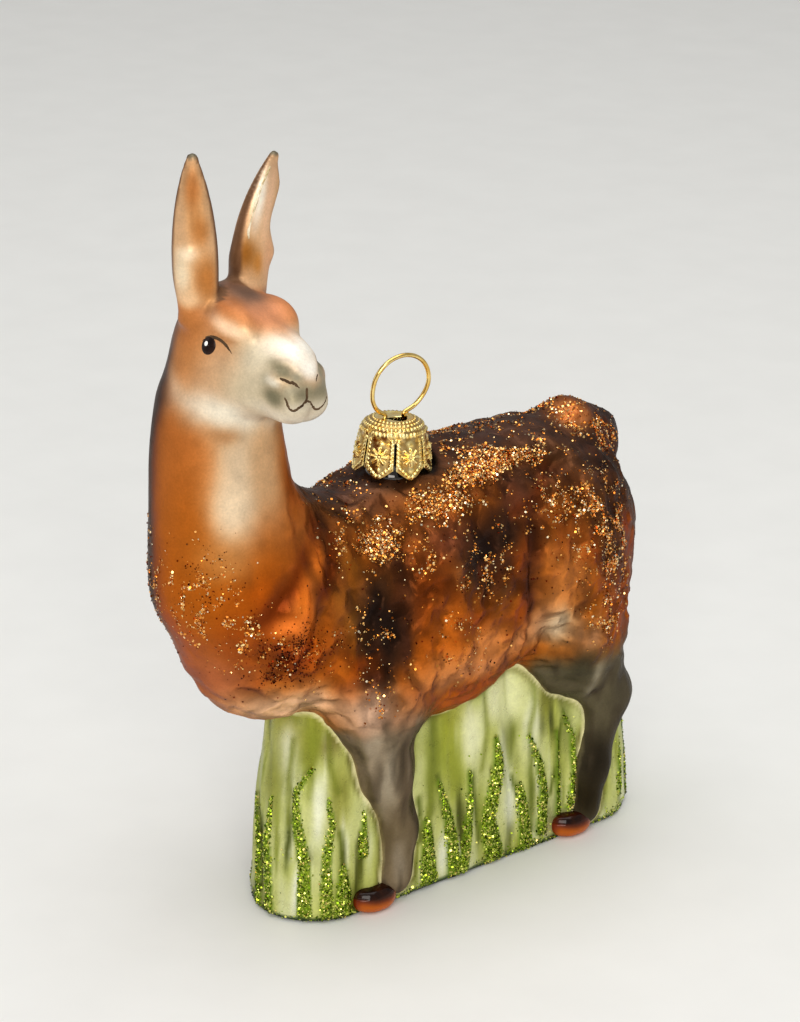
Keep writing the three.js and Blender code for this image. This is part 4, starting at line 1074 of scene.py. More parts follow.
@dataclass
class GrassMould:
    """Relief of the grass block and the colours brushed over it, painted shade and a painted highlight
    among them.
    """

    form: LlamaForm
    block: GrassBlock
    blade_lift: float = 0.5
    swell: tuple[Point, int] = ((3.6, 9.0, 17.0), 101)
    furrow: tuple[Point, int] = ((1.6, 9.0, 10.0), 105)

    def field(self, p: Array) -> Array:
        """The block with a small fillet against the llama."""
        block = self.block.block(p)
        return blend(block, blend_max(self.form.body(p) + 0.7, block - 0.9, 0.3), 0.5)

    def flow(self, p: Array) -> Array:
        """Places unrolled from the block and slanted a little, as the grass grows."""
        z = p[:, 2]
        return np.stack([self.block.around(p) + 0.07 * z, 0 * z + 3.0, z], -1)

    def curls(self, p: Array) -> Array:
        """The grass has no coat."""
        return np.zeros(len(p))

    def gleam(self, p: Array) -> Array:
        """How far the silver shows through the green wash, in soft patches."""
        return patchy(folds(p, (4, 4, 9), 131), 0.4, 0.8)

    def rise(self, p: Array) -> Array:
        """Relief outward at each point, in millimetres."""
        z, flow, cover = p[:, 2], self.flow(p), self.block.blade_cover(p)
        lift = 0.75 * folds(flow, *self.swell) + 0.5 * folds(flow, *self.furrow)
        lift += 0.08 * folds(p, (2.2, 2.2, 2.2), 107)
        raised = self.blade_lift * np.sqrt(unit(cover * 1.6))
        side = ramp(np.abs(z - 17), 17.5, 16)
        return side * (lift * (1 - 0.6 * cover) + raised) * ramp(z, 0.2, 1.2)

    def colour(self, p: Array) -> Array:
        """Finished colour at each point, in sRGB, with painted shade in the relief's hollows and next to
        the llama, and a painted highlight along the seam.
        """
        z, flow = p[:, 2], self.flow(p)
        wide, fine = folds(flow, (4.2, 9.0, 22.0), 111), folds(flow, (1.3, 9.0, 11.0), 113)
        colour = layered(
            np.tile(srgb("#BDC07C"), (len(p), 1)),
            ("#9AA032", patchy(wide, 1.5, -0.05)),
            ("#E9EAD6", 0.95 * patchy(wide, -1.6, -0.15)),
            ("#8B9430", 0.85 * patchy(folds(flow, (5.0, 9.0, 8.0), 115), 1.4, -0.15)),
            ("#6F781C", 0.9 * patchy(fine, 2.4, -0.5)),
            ("#F3F3E8", 0.7 * patchy(fine, -2.2, -0.7)),
            # painted shade in the hollows of the relief, from the noise that shapes it
            ("#4E5614", 0.9 * patchy(folds(flow, *self.swell), -1.6, -0.35)),
            ("#3B3F10", 0.9 * patchy(folds(flow, *self.furrow), -2.6, -0.6)),
            ("#F0F1E0", 0.75 * ramp(z, 12, 3) * patchy(folds(flow, (2.6, 9.0, 10.0), 117), 1, 0.1)),
            ("#8E8A30", 0.85 * ramp(z, 20, 29) * patchy(folds(flow, (4.0, 9.0, 5.0), 119), 1, 0.45)),
        )
        warp = np.stack([0.6 * folds(p, (2, 2, 5), 123), 1.2 * folds(p, (2, 2, 4), 125), 0 * z], -1)
        unrolled = np.stack([self.block.around(p), z, 0 * z], -1)
        colour = lay(colour, GRASS_SPRAYS, unrolled + warp)
        colour = lay(colour, GRASS_STRIPES, unrolled + 0.5 * warp)
        near = self.form.body(p)
        shade_patches = patchy(grain(p, (3, 3, 3), 121), 1, 0.5)
        return unit(layered(
            colour,
            ("#66801A", 0.95 * ramp(self.block.blade_cover(p), 0.02, 0.2)),
            ("#1E3310", 0.92 * ramp(z, 1.25, 0.4)),
            # painted shade on the grass next to the llama, in patches, and a painted highlight along the
            # seam
            ("#5E5A22", 0.75 * ramp(near, 1.3, 0.5) * shade_patches),
            ("#E6DDAA", 0.85 * ramp(near, 0.55, 0.15)),
        ))


# ---- finishes
def node(
    tree: Tree, kind: str, sockets: dict | None = None, stops: list | tuple = (), out: str | int = 0,
    **settings: object,
) -> Socket | None:
    """Adds one shader node.

    Args:
        tree: The material's node tree.
        kind: Blender's name of the node, after its "ShaderNode".
        sockets: Numbers and colours for its inputs, or outputs that feed them.
        stops: (place, colour) pairs of a colour ramp.
        out: Which of its outputs to give back.
        **settings: The node's other settings.

    Returns:
        That output, or None where it has none.
    """
    made = tree.nodes.new("ShaderNode" + kind)
    for name, value in settings.items():
        setattr(made, name, value)
    for name, value in (sockets or {}).items():
        if isinstance(value, Socket):
            tree.links.new(value, made.inputs[name])
        else:
            made.inputs[name].default_value = value
    for n, (place, colour) in enumerate(stops):
        steps = made.color_ramp.elements
        step = steps[n] if n < 2 else steps.new(place)
        step.position, step.color = place, colour
    return made.outputs[out] if made.outputs else None


def per_mm(size: float) -> float:
    """Noise scale that gives lumps of a size in millimetres, in a model measured in metres."""
    return 1 / (size * MM)


@dataclass(frozen=True)
class Finish:
    """A coating, a metal or a sheet; each kind works out the inputs of its one shader."""

    name: str

    def inputs(self, tree: Tree) -> dict:
        """The shader's inputs: plain values, and outputs of the patterns that feed them."""
        raise NotImplementedError

    def material(self) -> bpy.types.Material:
        """The finish's material, made when it is first asked for."""
        material = bpy.data.materials.get(self.name)
        if material:
            return material
        material = bpy.data.materials.new(self.name)
        material.use_nodes = True
        tree = material.node_tree
        tree.nodes.clear()
        shader = node(tree, "BsdfPrincipled", self.inputs(tree))
        node(tree, "OutputMaterial", {"Surface": shader})
        return material


@dataclass(frozen=True)
class BrushedLacquer(Finish):
    """Transparent satin lacquer airbrushed over silvered glass, whose mirror lights the colour."""

    metallic: float
    roughness: tuple[float, float]
    coat: float
    coat_roughness: float
    speckle: float
    grain_mm: float = 0.32
    blotch_mm: float = 2.2
    bump_mm: float = 0.03
    blotch_bump_mm: float = 0.12
    specular: float = 0.3
    edge: str = "#6B4A38"
    tuft_mm: float = 3.0
    tuft_depth_mm: float = 0.42
    # factors on the colour: painted highlight on the curls' tops, painted shade between them
    tuft_shade: tuple[float, float] = (1.14, 0.56)

    def inputs(self, tree: Tree) -> dict:
        """Painted colour broken by the spray's grain, darkened between the coat's curls as painted shade
        and lightened on their tops as painted highlight, with a satin surface.
        """
        here = node(tree, "TexCoord", out="Object")
        colour, wool, gleam = (
            node(tree, "Attribute", attribute_name=name, out=out)
            for name, out in (("paint", "Color"), ("wool", "Fac"), ("gleam", "Fac"))
        )
        # droplets of the spray, 0.3 mm across, show in the darker coats as fine salt and pepper
        droplets, blotches = (
            node(tree, "TexNoise", {
                "Vector": here, "Scale": per_mm(size), "Detail": detail, "Roughness": rough,
            })
            for size, detail, rough in ((self.grain_mm, 2.0, 0.6), (self.blotch_mm, 4.0, 0.62))
        )
        # curls of the coat, 3 mm across: painted highlight on their tops and painted shade in the hollows
        # between them
        curls = node(tree, "TexNoise", {
            "Vector": here, "Scale": per_mm(self.tuft_mm), "Detail": 1.6, "Roughness": 0.45,
            "Distortion": 0.35,
        })
        valley = node(tree, "MapRange", {
            "Value": curls, "From Min": 0.34, "From Max": 0.64, "To Min": 1.0, "To Max": 0.0,
        }, interpolation_type="SMOOTHSTEP")
        valley = node(tree, "Math", {0: valley, 1: wool}, operation="MULTIPLY")
        grit, cloud, rough, shade, metal = (
            node(tree, "MapRange", {
                "Value": value, "From Min": start, "From Max": 1 - start, "To Min": low, "To Max": high,
            })
            for value, start, low, high in (
                (droplets, 0.3, 1 - self.speckle, 1 + self.speckle), (blotches, 0.3, 0.9, 1.1),
                (blotches, 0.3, *self.roughness), (valley, 0, *self.tuft_shade),
                (gleam, 0, 0, self.metallic),
            )
        )
        light = node(tree, "Math", {0: grit, 1: cloud}, operation="MULTIPLY")
        # the curls' painted shade and painted highlight go into the colour here
        light = node(tree, "Math", {0: light, 1: shade}, operation="MULTIPLY")
        toned = node(tree, "VectorMath", {0: colour, "Scale": light}, operation="SCALE")
        relief = node(tree, "Bump", {
            "Height": blotches, "Distance": self.blotch_bump_mm * MM, "Strength": 0.5,
        })
        relief = node(tree, "Bump", {
            "Height": valley, "Distance": self.tuft_depth_mm * MM, "Strength": 0.8, "Normal": relief,
        }, invert=True)
        relief = node(tree, "Bump", {
            "Height": droplets, "Distance": self.bump_mm * MM, "Strength": 0.15, "Normal": relief,
        })
        return {
            "Base Color": toned, "Metallic": metal, "Roughness": rough, "Normal": relief,
            "Coat Weight": self.coat, "Coat Roughness": self.coat_roughness,
            # seen along the surface, the light crosses more lacquer on its way to the silver and dims
            "Specular IOR Level": self.specular, "Specular Tint": paint(self.edge),
        }


@dataclass(frozen=True)
class GlossEnamel(Finish):
    """Brushed-on gloss enamel, flowed smooth: a wet look with sharp highlights."""

    deep: str
    thin: str
    lump_mm: float = 1.2
    roughness: float = 0.1
    metallic: float = 0.0
    coat: float = 0.25
    specular: float = 0.35
    painted: bool = False

    def inputs(self, tree: Tree) -> dict:
        """Two depths of the same enamel, as where a brush leaves more and less of it."""
        here = node(tree, "TexCoord", out="Object")
        pool = node(tree, "TexNoise", {
            "Vector": here, "Scale": per_mm(self.lump_mm), "Detail": 3.0,
        })
        stops = [(0.35, paint(self.deep)), (0.68, paint(self.thin))]
        colour = node(tree, "ValToRGB", {"Fac": pool}, stops)
        if self.painted:
            mark = node(tree, "Attribute", attribute_name="paint")
            colour = node(tree, "Mix", {0: 0.85, 6: colour, 7: mark}, data_type="RGBA", out=2)
        rough = node(tree, "MapRange", {
            "Value": pool, "To Min": self.roughness * 0.7, "To Max": self.roughness * 1.5,
        })
        return {
            "Base Color": colour, "Roughness": rough, "Metallic": self.metallic,
            "Specular IOR Level": self.specular, "Coat Weight": self.coat, "Coat Roughness": 0.05,
        }


@dataclass(frozen=True)
class GildedBrass(Finish):
    """Thin brass, pressed or drawn and gold-plated: bright crests and brown tarnish in the hollows."""

    bright: str
    warm: str
    roughness: tuple[float, float]
    lump_mm: float = 0.9
    tarnish: str = ""

    def inputs(self, tree: Tree) -> dict:
        """Gold that varies a little, darker where a stamp went deep and left tarnish."""
        here = node(tree, "TexCoord", out="Object")
        wear = node(tree, "TexNoise", {
            "Vector": here, "Scale": per_mm(self.lump_mm), "Detail": 5.0,
        })
        stops = [(0.35, paint(self.warm)), (0.6, paint(self.bright))]
        colour = node(tree, "ValToRGB", {"Fac": wear}, stops)
        if self.tarnish:
            depth = node(tree, "Attribute", attribute_name="crest", out="Fac")
            share = node(tree, "MapRange", {
                "Value": depth, "From Min": -0.3, "From Max": 0.42,
            }, interpolation_type="SMOOTHSTEP")
            colour = node(tree, "Mix", {
                0: share, 6: paint(self.tarnish), 7: colour,
            }, data_type="RGBA", out=2)
        low, high = self.roughness
        rough = node(tree, "MapRange", {
            "Value": wear, "From Min": 0.3, "From Max": 0.7, "To Min": low, "To Max": high,
        })
        return {"Base Color": colour, "Metallic": 1.0, "Roughness": rough}


@dataclass(frozen=True)
class GlitterFilm(Finish):
    """Cut metallised polyester film: tiny hexagons, each one with its own tone of the mix."""

    tones: tuple[tuple[float, str], ...]
    roughness: float

    def inputs(self, tree: Tree) -> dict:
        """Each flake takes one tone of the mix."""
        chance = node(tree, "Attribute", attribute_name="chance", out="Fac")
        stops = [(place, paint(tint)) for place, tint in self.tones]
        colour = node(tree, "ValToRGB", {"Fac": chance}, stops)
        return {"Base Color": colour, "Metallic": 1.0, "Roughness": self.roughness}


@dataclass(frozen=True)
class SilveredGlass(Finish):
    """Bare blown glass, silvered inside, under a clear skin, tinted near black as painted shade inside the
    cap.
    """

    # painted shade: near black, as the neck sits in the cap's shade
    tint: str = "#1E1814"
    wave_mm: float = 3.0

    def inputs(self, tree: Tree) -> dict:
        """Near-black mirror, painted shade inside the cap, with the faint waves of blown glass."""
        here = node(tree, "TexCoord", out="Object")
        waves = node(tree, "TexNoise", {
            "Vector": here, "Scale": per_mm(self.wave_mm), "Detail": 2.0,
        })
        rough = node(tree, "MapRange", {
            "Value": waves, "To Min": 0.04, "To Max": 0.14,
        })
        return {"Base Color": paint(self.tint), "Metallic": 0.8, "Roughness": rough, "Coat Weight": 1.0}


@dataclass(frozen=True)
class MattPaper(Finish):
    """Pale matt paper, pressed: almost even, with its fibre in soft clouds."""

    tints: tuple[str, str] = ("#EAEAE7", "#EDEDEA")
    cloud_mm: float = 14.0

    def inputs(self, tree: Tree) -> dict:
        """Two near tints in clouds."""
        here = node(tree, "TexCoord", out="Object")
        fibre = node(tree, "TexNoise", {
            "Vector": here, "Scale": per_mm(self.cloud_mm), "Detail": 3.0,
        })
        stops = [(0.3, paint(self.tints[0])), (0.7, paint(self.tints[1]))]
        colour = node(tree, "ValToRGB", {"Fac": fibre}, stops)
        return {"Base Color": colour, "Roughness": 0.55}


COAT_LACQUER = BrushedLacquer(
    "satin lacquer, airbrushed over silvered glass", metallic=0.55, roughness=(0.32, 0.46),
    coat=0.03, coat_roughness=0.3, speckle=0.07,
)
GRASS_LACQUER = BrushedLacquer(
    "green wash lacquer over silvered glass", metallic=0.45, roughness=(0.24, 0.38),
    coat=0.1, coat_roughness=0.2, speckle=0.06, bump_mm=0.02, blotch_bump_mm=0.08, edge="#6E7A48",
)
HOOF_LACQUER = GlossEnamel(
    "amber gloss lacquer, brushed", "#1C0803", "#6A3208", metallic=0.1, coat=0.12, specular=0.15,
    painted=True,
)
EYE_ENAMEL = GlossEnamel(
    "dark brown gloss enamel, brushed", "#120806", "#2A140C", roughness=0.25, coat=0.06, specular=0.15,
)
LINE_ENAMEL = GlossEnamel(
    "brown line enamel, brushed", "#3A2A1C", "#66503A", roughness=0.6, coat=0.0, specular=0.08,
)
WHITE_ENAMEL = GlossEnamel("white enamel, dotted on", "#F4F0E8", "#FFFFFF", roughness=0.2)
# cream enamel for the painted highlight along the left ear's crease
CREAM_HIGHLIGHT_ENAMEL = GlossEnamel("cream enamel, painted highlight line", "#B9A06C", "#FFF6DC", lump_mm=0.8, roughness=0.25)
CROWN_BRASS = GildedBrass(
    "gold-plated brass, embossed", "#FFECA4", "#FFD26C", roughness=(0.2, 0.32), tarnish="#8E5412",
)
WIRE_BRASS = GildedBrass("gold-plated brass wire, drawn", "#F6D98A", "#DDB056", (0.07, 0.14), lump_mm=1.6)
BARE_GLASS = SilveredGlass("silvered glass, blown")
COPPER_FILM = GlitterFilm("copper glitter film, cut", (
    (0.0, "#8A4414"), (0.2, "#CC742A"), (0.5, "#F4A248"), (0.82, "#FFD48A"), (1.0, "#FFF2D2"),
), 0.2)
RUST_FILM = GlitterFilm("dark red glitter film, cut", (
    (0.0, "#1C0502"), (0.6, "#4A0F05"), (1.0, "#7A2408"),
), 0.4)
GREEN_FILM = GlitterFilm("green glitter film, cut", (
    (0.0, "#2C3C08"), (0.25, "#6C8A18"), (0.55, "#AEC436"), (0.85, "#E4EC78"), (1.0, "#FFE08A"),
), 0.24)


# ---- making pieces
class Body(Enum):
    """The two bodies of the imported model."""

    FIGURE = "figure"
    CAP = "cap"


def make_mesh(name: str, points: Array, faces: list, finish: Finish) -> Piece:
    """Makes one mesh in the scene from points in millimetres."""
    mesh = bpy.data.meshes.new(name)
    mesh.from_pydata((np.asarray(points, float) * MM).tolist(), [], faces)
    mesh.materials.append(finish.material())
    made = bpy.data.objects.new(name, mesh)
    bpy.context.scene.collection.objects.link(made)
    return made


def make_piece(name: str, points: Array, faces: list | Array, finish: Finish, slot: str,
               nodes: tuple[str, ...] = (), body: Body = Body.FIGURE, smooth: bool = True) -> Piece:
    """Makes one mesh piece and hangs it on its body.

    Args:
        name: The piece's name.
        points: Vertices in millimetres.
        faces: Corner numbers of each face.
        finish: What it is coated with or made of.
        slot: The record's material slot; not used.
        nodes: The CAD nodes it stands for.
        body: The body it rides on.
        smooth: Whether its faces shade as one curved surface.

    Returns:
        The new object.
    """
    rows = faces.tolist() if isinstance(faces, np.ndarray) else faces
    piece = make_mesh(name, points, rows, finish)
    mesh = piece.data
    mesh.polygons.foreach_set("use_smooth", [smooth] * len(mesh.polygons))
    mesh.update()
    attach(piece, body.value)
    if nodes:
        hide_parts(*nodes)
    LOG.info("%s: %d vertices, %d faces", name, len(mesh.vertices), len(mesh.polygons))
    return piece


def give_paint(piece: Piece, colour: Array) -> None:
    """Stores an sRGB colour on each vertex."""
    layer = piece.data.color_attributes.new("paint", "FLOAT_COLOR", "POINT")
    rgba = np.concatenate([to_linear(colour), np.ones((len(colour), 1))], 1)
    layer.data.foreach_set("color", rgba.astype(np.float32).ravel())


def give_number(piece: Piece, name: str, value: Array) -> None:
    """Stores a number on each vertex."""
    layer = piece.data.attributes.new(name, "FLOAT", "POINT")
    layer.data.foreach_set("value", value.astype(np.float32))


def circle(count: int) -> list[tuple[float, float]]:
    """Cosine and sine of evenly spaced turns."""
    turns = [2 * math.pi * n / count for n in range(count)]
    return [(math.cos(turn), math.sin(turn)) for turn in turns]


def sheet_faces(rows: int, columns: int, ring: bool = True, first: int = 0, flip: bool = False) -> list:
    """Four-cornered faces between rows of points.

    Args:
        rows: How many rows there are.
        columns: How many points each row has.
        ring: Whether each row closes on itself.
        first: Number of the first point.
        flip: Whether the faces turn the other way.

    Returns:
        The faces, row by row.
    """
    faces = []
    for row in range(rows - 1):
        a = first + row * columns
        for n in range(columns if ring else columns - 1):
            m = (n + 1) % columns
            face = [a + n, a + columns + n, a + columns + m, a + m]
            faces.append([face[0], *face[:0:-1]] if flip else face)
    return faces


class Surface:
    """A finished skin that enamel and flakes are laid on."""

    def __init__(self, points: Array, faces: Array) -> None:
        """Keeps the skin and a search tree over it."""
        self.points, self.faces = points, faces
        self.tree = BVHTree.FromPolygons(points.tolist(), faces.tolist())
        a, b, c, d = (points[faces[:, n]] for n in range(4))
        cross = np.cross(c - a, d - b)
        self.areas = size_of(cross) / 2
        self.normals = cross / np.maximum(size_of(cross), 1e-9)[:, None]
        self.centres = (a + b + c + d) / 4

    def nearest(self, place: Array) -> tuple[Array, Array]:
        """The skin's nearest point to a place, and its smoothed outward direction there."""
        at, _, _, _ = self.tree.find_nearest(Vector(place))
        at = np.array(at)
        found = self.tree.find_nearest_range(Vector(at), 0.8)
        direction = np.sum([np.array(normal) for _, normal, _, _ in found], axis=0)
        return at, direction / np.linalg.norm(direction)

    def dome(self, place: Array, long_way: Array, reach: tuple[float, float], bulge: float,
             rings: int = 10, sides: int = 28) -> tuple[Array, list]:
        """Drop of enamel that follows the skin.

        Args:
            place: Its middle.
            long_way: The direction of its first reach.
            reach: Half size along that direction and across it.
            bulge: How far its middle stands proud.
            rings: Rings from middle to edge.
            sides: Points in each ring.

        Returns:
            Points and faces.
        """
        middle, out = self.nearest(place)
        along = long_way - out * (long_way @ out)
        along = along / np.linalg.norm(along)
        across = np.cross(out, along)
        points = [middle + out * bulge]
        for share in np.arange(1, rings + 1) / rings:
            for cos, sin in circle(sides):
                flat = along * cos * reach[0] + across * sin * reach[1]
                at, _ = self.nearest(middle + flat * share)
                points.append(at + out * (bulge * (1 - share**2) ** 0.7 - 0.05 * share**8))
        faces = [[0, 1 + s, 1 + (s + 1) % sides] for s in range(sides)]
        return np.array(points), faces + sheet_faces(rings, sides, first=1)

    def stroke(self, line: Array, half_width: Array, height: float, across: int = 6) -> tuple[Array, list]:
        """Brush line that follows the skin.

        Args:
            line: Points near the skin, in order.
            half_width: Half width at each of them.
            height: How far its middle stands proud.
            across: Faces across the line.

        Returns:
            Points and faces.
        """
        spine, outs = (np.array(part) for part in zip(*(self.nearest(place) for place in line)))
        points = []
        for at, out, way, half in zip(spine, outs, np.gradient(spine, axis=0), half_width):
            side = np.cross(out, way)
            side /= max(np.linalg.norm(side), 1e-9)
            for w in 2 * np.arange(across + 1) / across - 1:
                spot, _ = self.nearest(at + side * half * w)
                points.append(spot + out * (height * (1 - w * w) - 0.03 * w * w))
        return np.array(points), sheet_faces(len(spine), across + 1, ring=False, flip=True)


def rounded_line(corners: Array, steps: int) -> Array:
    """A smooth line through corners, with a number of points."""
    corners = np.asarray(corners, float)
    padded = np.concatenate([[2 * corners[0] - corners[1]], corners, [2 * corners[-1] - corners[-2]]])
    out = []
    for t in np.linspace(0, len(corners) - 1 - 1e-6, steps):
        n = int(t)
        f = t - n
        a, b, c, d = padded[n : n + 4]
        out.append(0.5 * (2 * b + (c - a) * f + (2 * a - 5 * b + 4 * c - d) * f**2
                          + (3 * b - a - 3 * c + d) * f**3))
    return np.array(out)


def joined(parts: list[tuple[Array, list]]) -> tuple[Array, list]:
    """Several meshes as one list of points and one of faces."""
    points, faces, start = [], [], 0
    for some, these in parts:
        points.append(some)
        faces += [[start + n for n in face] for face in these]
        start += len(some)
    return np.concatenate(points), faces


# ---- the glass figure
@dataclass
class GlassFigure:
    """The blown figure: the llama's skin and the grass block, one lacquered surface each."""

    form: LlamaForm
    grass: GrassBlock
    body_cell: float = 0.56
    head_cell: float = 0.42
    grass_cell: float = 0.5

    def skin(self, name: str, form: Form, mould: LlamaMould | GrassMould, lines: tuple[Array, Array, Array],
             finish: Finish, slot: str, nodes: tuple[str, ...]) -> Surface:
        """Makes one skin with its relief and paint.

        Args:
            name: The piece's name.
            form: Its smooth form.
            mould: What gives its relief and colour.
            lines: Grid positions along X, Y and Z.
            finish: Its lacquer.
            slot: The record's material slot.
            nodes: The CAD nodes it stands for.

        Returns:
            The finished skin.
        """
        points, faces = skin_of(form, lines)
        steep = slope(form, points)
        outward = steep / np.maximum(size_of(steep), 1e-6)[:, None]
        points = points.astype(float)
        points = points + outward * mould.rise(points)[:, None]
        piece = make_piece(name, points, faces, finish, slot, nodes)
        give_paint(piece, mould.colour(points))
        give_number(piece, "wool", mould.curls(points))
        give_number(piece, "gleam", mould.gleam(points))
        return Surface(points, faces)

    def build_llama(self) -> Surface:
        """Makes the llama's skin."""
        mould, body, head = LlamaMould(self.form, self.grass), self.body_cell, self.head_cell
        lines = (
            grid_lines([(-18.6, body)], 22.4),
            grid_lines([(-53.0, head), (-27.0, body)], 37.0),
            grid_lines([(-0.6, body), (78.0, head)], 116.6),
        )
        nodes = ("head", "ear_left", "ear_right", "neck", "trunk", "tail", "leg_front_left",
                 "leg_front_right", "leg_hind_left", "leg_hind_right")
        return self.skin("llama_skin", self.form.body, mould, lines, COAT_LACQUER, "lacquered_glass", nodes)

    def build_grass(self) -> Surface:
        """Makes the grass block's skin."""
        mould, cell = GrassMould(self.form, self.grass), self.grass_cell
        ends = ((-11.2, 11.2), (-35.2, 36.8), (-0.6, 37.6))
        lines = tuple(grid_lines([(low, cell)], high) for low, high in ends)
        finish, slot = GRASS_LACQUER, "grass_lacquer"
        return self.skin("grass_skin", mould.field, mould, lines, finish, slot, ("grass_base",))


@dataclass
class Hooves:
    """Four glossy hooves: rounded toes with a shallow cleft, standing on the floor."""

    feet: tuple[tuple[str, tuple[float, float], float], ...] = (
        ("front", (8.6, -19.8), 0.4), ("hind", (8.4, 18.6), 1.0),
    )
    height: float = 1.9
    radii: Point = (2.75, 4.1, 2.65)
    rings: int = 26
    sides: int = 48
    sheen: Marks = sprays(("#0C0403", 0.9, -0.2, 0.42, 1.2, 0.8, 0.42, 0.97))

    def toe(self, side: int, place: tuple[float, float], amber: float) -> tuple[Array, list, Array]:
        """One hoof.

        Args:
            side: 1 for the llama's left, -1 for its right.
            place: Distance out and place along Y of its middle.
            amber: How high the amber reaches up it, as a share of its half height.

        Returns:
            Points, faces and the sRGB colour of each point.
        """
        tilts = math.pi * np.arange(1, self.rings) / self.rings
        ball = [(math.sin(tilt) * cos, math.sin(tilt) * sin, math.cos(tilt)) for tilt in tilts
                for cos, sin in circle(self.sides)]
        outer = np.array([(0.0, 0.0, 1.0), *ball, (0.0, 0.0, -1.0)])
        x, y, z = outer.T
        cleft = 0.07 * np.exp(-((x / 0.13) ** 2)) * ramp(y, 0.1, -0.7)
        blunt = np.sign(outer) * np.abs(outer) ** np.array([1.0, 0.82, 0.8])
        shaped = blunt * np.array([1.0, 0.93, 0.93]) * (1 - cleft)[:, None]
        shaped[:, 0] *= 1 - 0.22 * ramp(-y, 0.1, 1.0)
        shaped[:, 2] += 0.14 * ramp(-y, -0.4, 0.9) * (z < 0.2)
        world = shaped * np.array(self.radii) + np.array([side * place[0], place[1], self.height])
        lid = 4.0 + 0.1 * shaped[:, 1] - 0.25 * np.abs(shaped[:, 0])
        world[:, 2] = np.maximum(lid - np.log1p(np.exp((lid - world[:, 2]) * 4)) / 4, 0.0)
        last, foot = len(outer) - 1, len(outer) - 1 - self.sides
        turns = [(n, (n + 1) % self.sides) for n in range(self.sides)]
        faces = [[0, 1 + n, 1 + m] for n, m in turns] + sheet_faces(self.rings - 1, self.sides, first=1)
        faces += [[last, foot + m, foot + n] for n, m in turns]
        rim = ramp(z, 0.16, -0.22)
        colour = layered(
            np.tile(srgb("#1A0703"), (len(outer), 1)),
            ("#7A2406", ramp(z, amber, amber - 0.45)),
            ("#C8620C", rim * ramp(y, -1.0, -0.7)),
            ("#D0600C", 0.95 * ramp(y, 0.45, 0.8) * ramp(z, 0.75, 0.3)),
        )
        return world, faces, lay(colour, self.sheen, outer * np.array([side, 1, 1]))

    def build(self) -> None:
        """Makes the four hooves as pieces of their own."""
        for side_name, side in (("left", 1), ("right", -1)):
            for end, place, amber in self.feet:
                points, faces, colour = self.toe(side, place, amber)
                name = f"hoof_{end}_{side_name}"
                piece = make_piece(f"{name}_gloss", points, faces, HOOF_LACQUER, "hoof_lacquer", (name,))
                give_paint(piece, colour)


# lines of the brush on the head: width, how thick its start and end are, points along it, and corners
LID = (0.6, 0.5, 0.12, 30, (
    (4.1, 7.3, 2), (5, 7.2, 2.4), (6.1, 7.1, 2.6), (7.2, 6.8, 2.45), (8, 6.6, 2.15), (8.8, 6.3, 1.75),
))
EYE_CORNER = (0.3, 0.3, 0.1, 10, ((5, 7.5, 2.5), (4.4, 7.6, 2.1), (3.9, 7.7, 1.5)))
MUZZLE_LINES = (
    (0.52, 0.5, 0.3, 24, ((16.4, 4.1, 1.65), (17.2, 3.6, 1.55), (18, 2.9, 1.35), (18.6, 2.3, 0.95))),
    (0.3, 0.5, 0.3, 14, ((18.3, -1.1, 2.4), (18.6, -0.7, 2.1), (18.9, -0.4, 1.7))),
    (0.42, 0.6, 0.3, 90, MOUTH_LINE),
    (0.48, 0.5, 0.6, 20, ((19, 1.2, 1), (19.2, 1.2, 0.3), (19.45, 1.15, -0.4), (19.5, 1.2, -0.9))),
)
# painted highlight along the left ear's seam, by share of its length, place across and place outward
EAR_SEAM = (
    (0.9, -0.7, 0.8), (0.81, -1.27, 1), (0.67, -1.87, 1.34), (0.57, -2.26, 1.5), (0.46, -2.57, 1.6),
    (0.4, -2.42, 1.75),
)


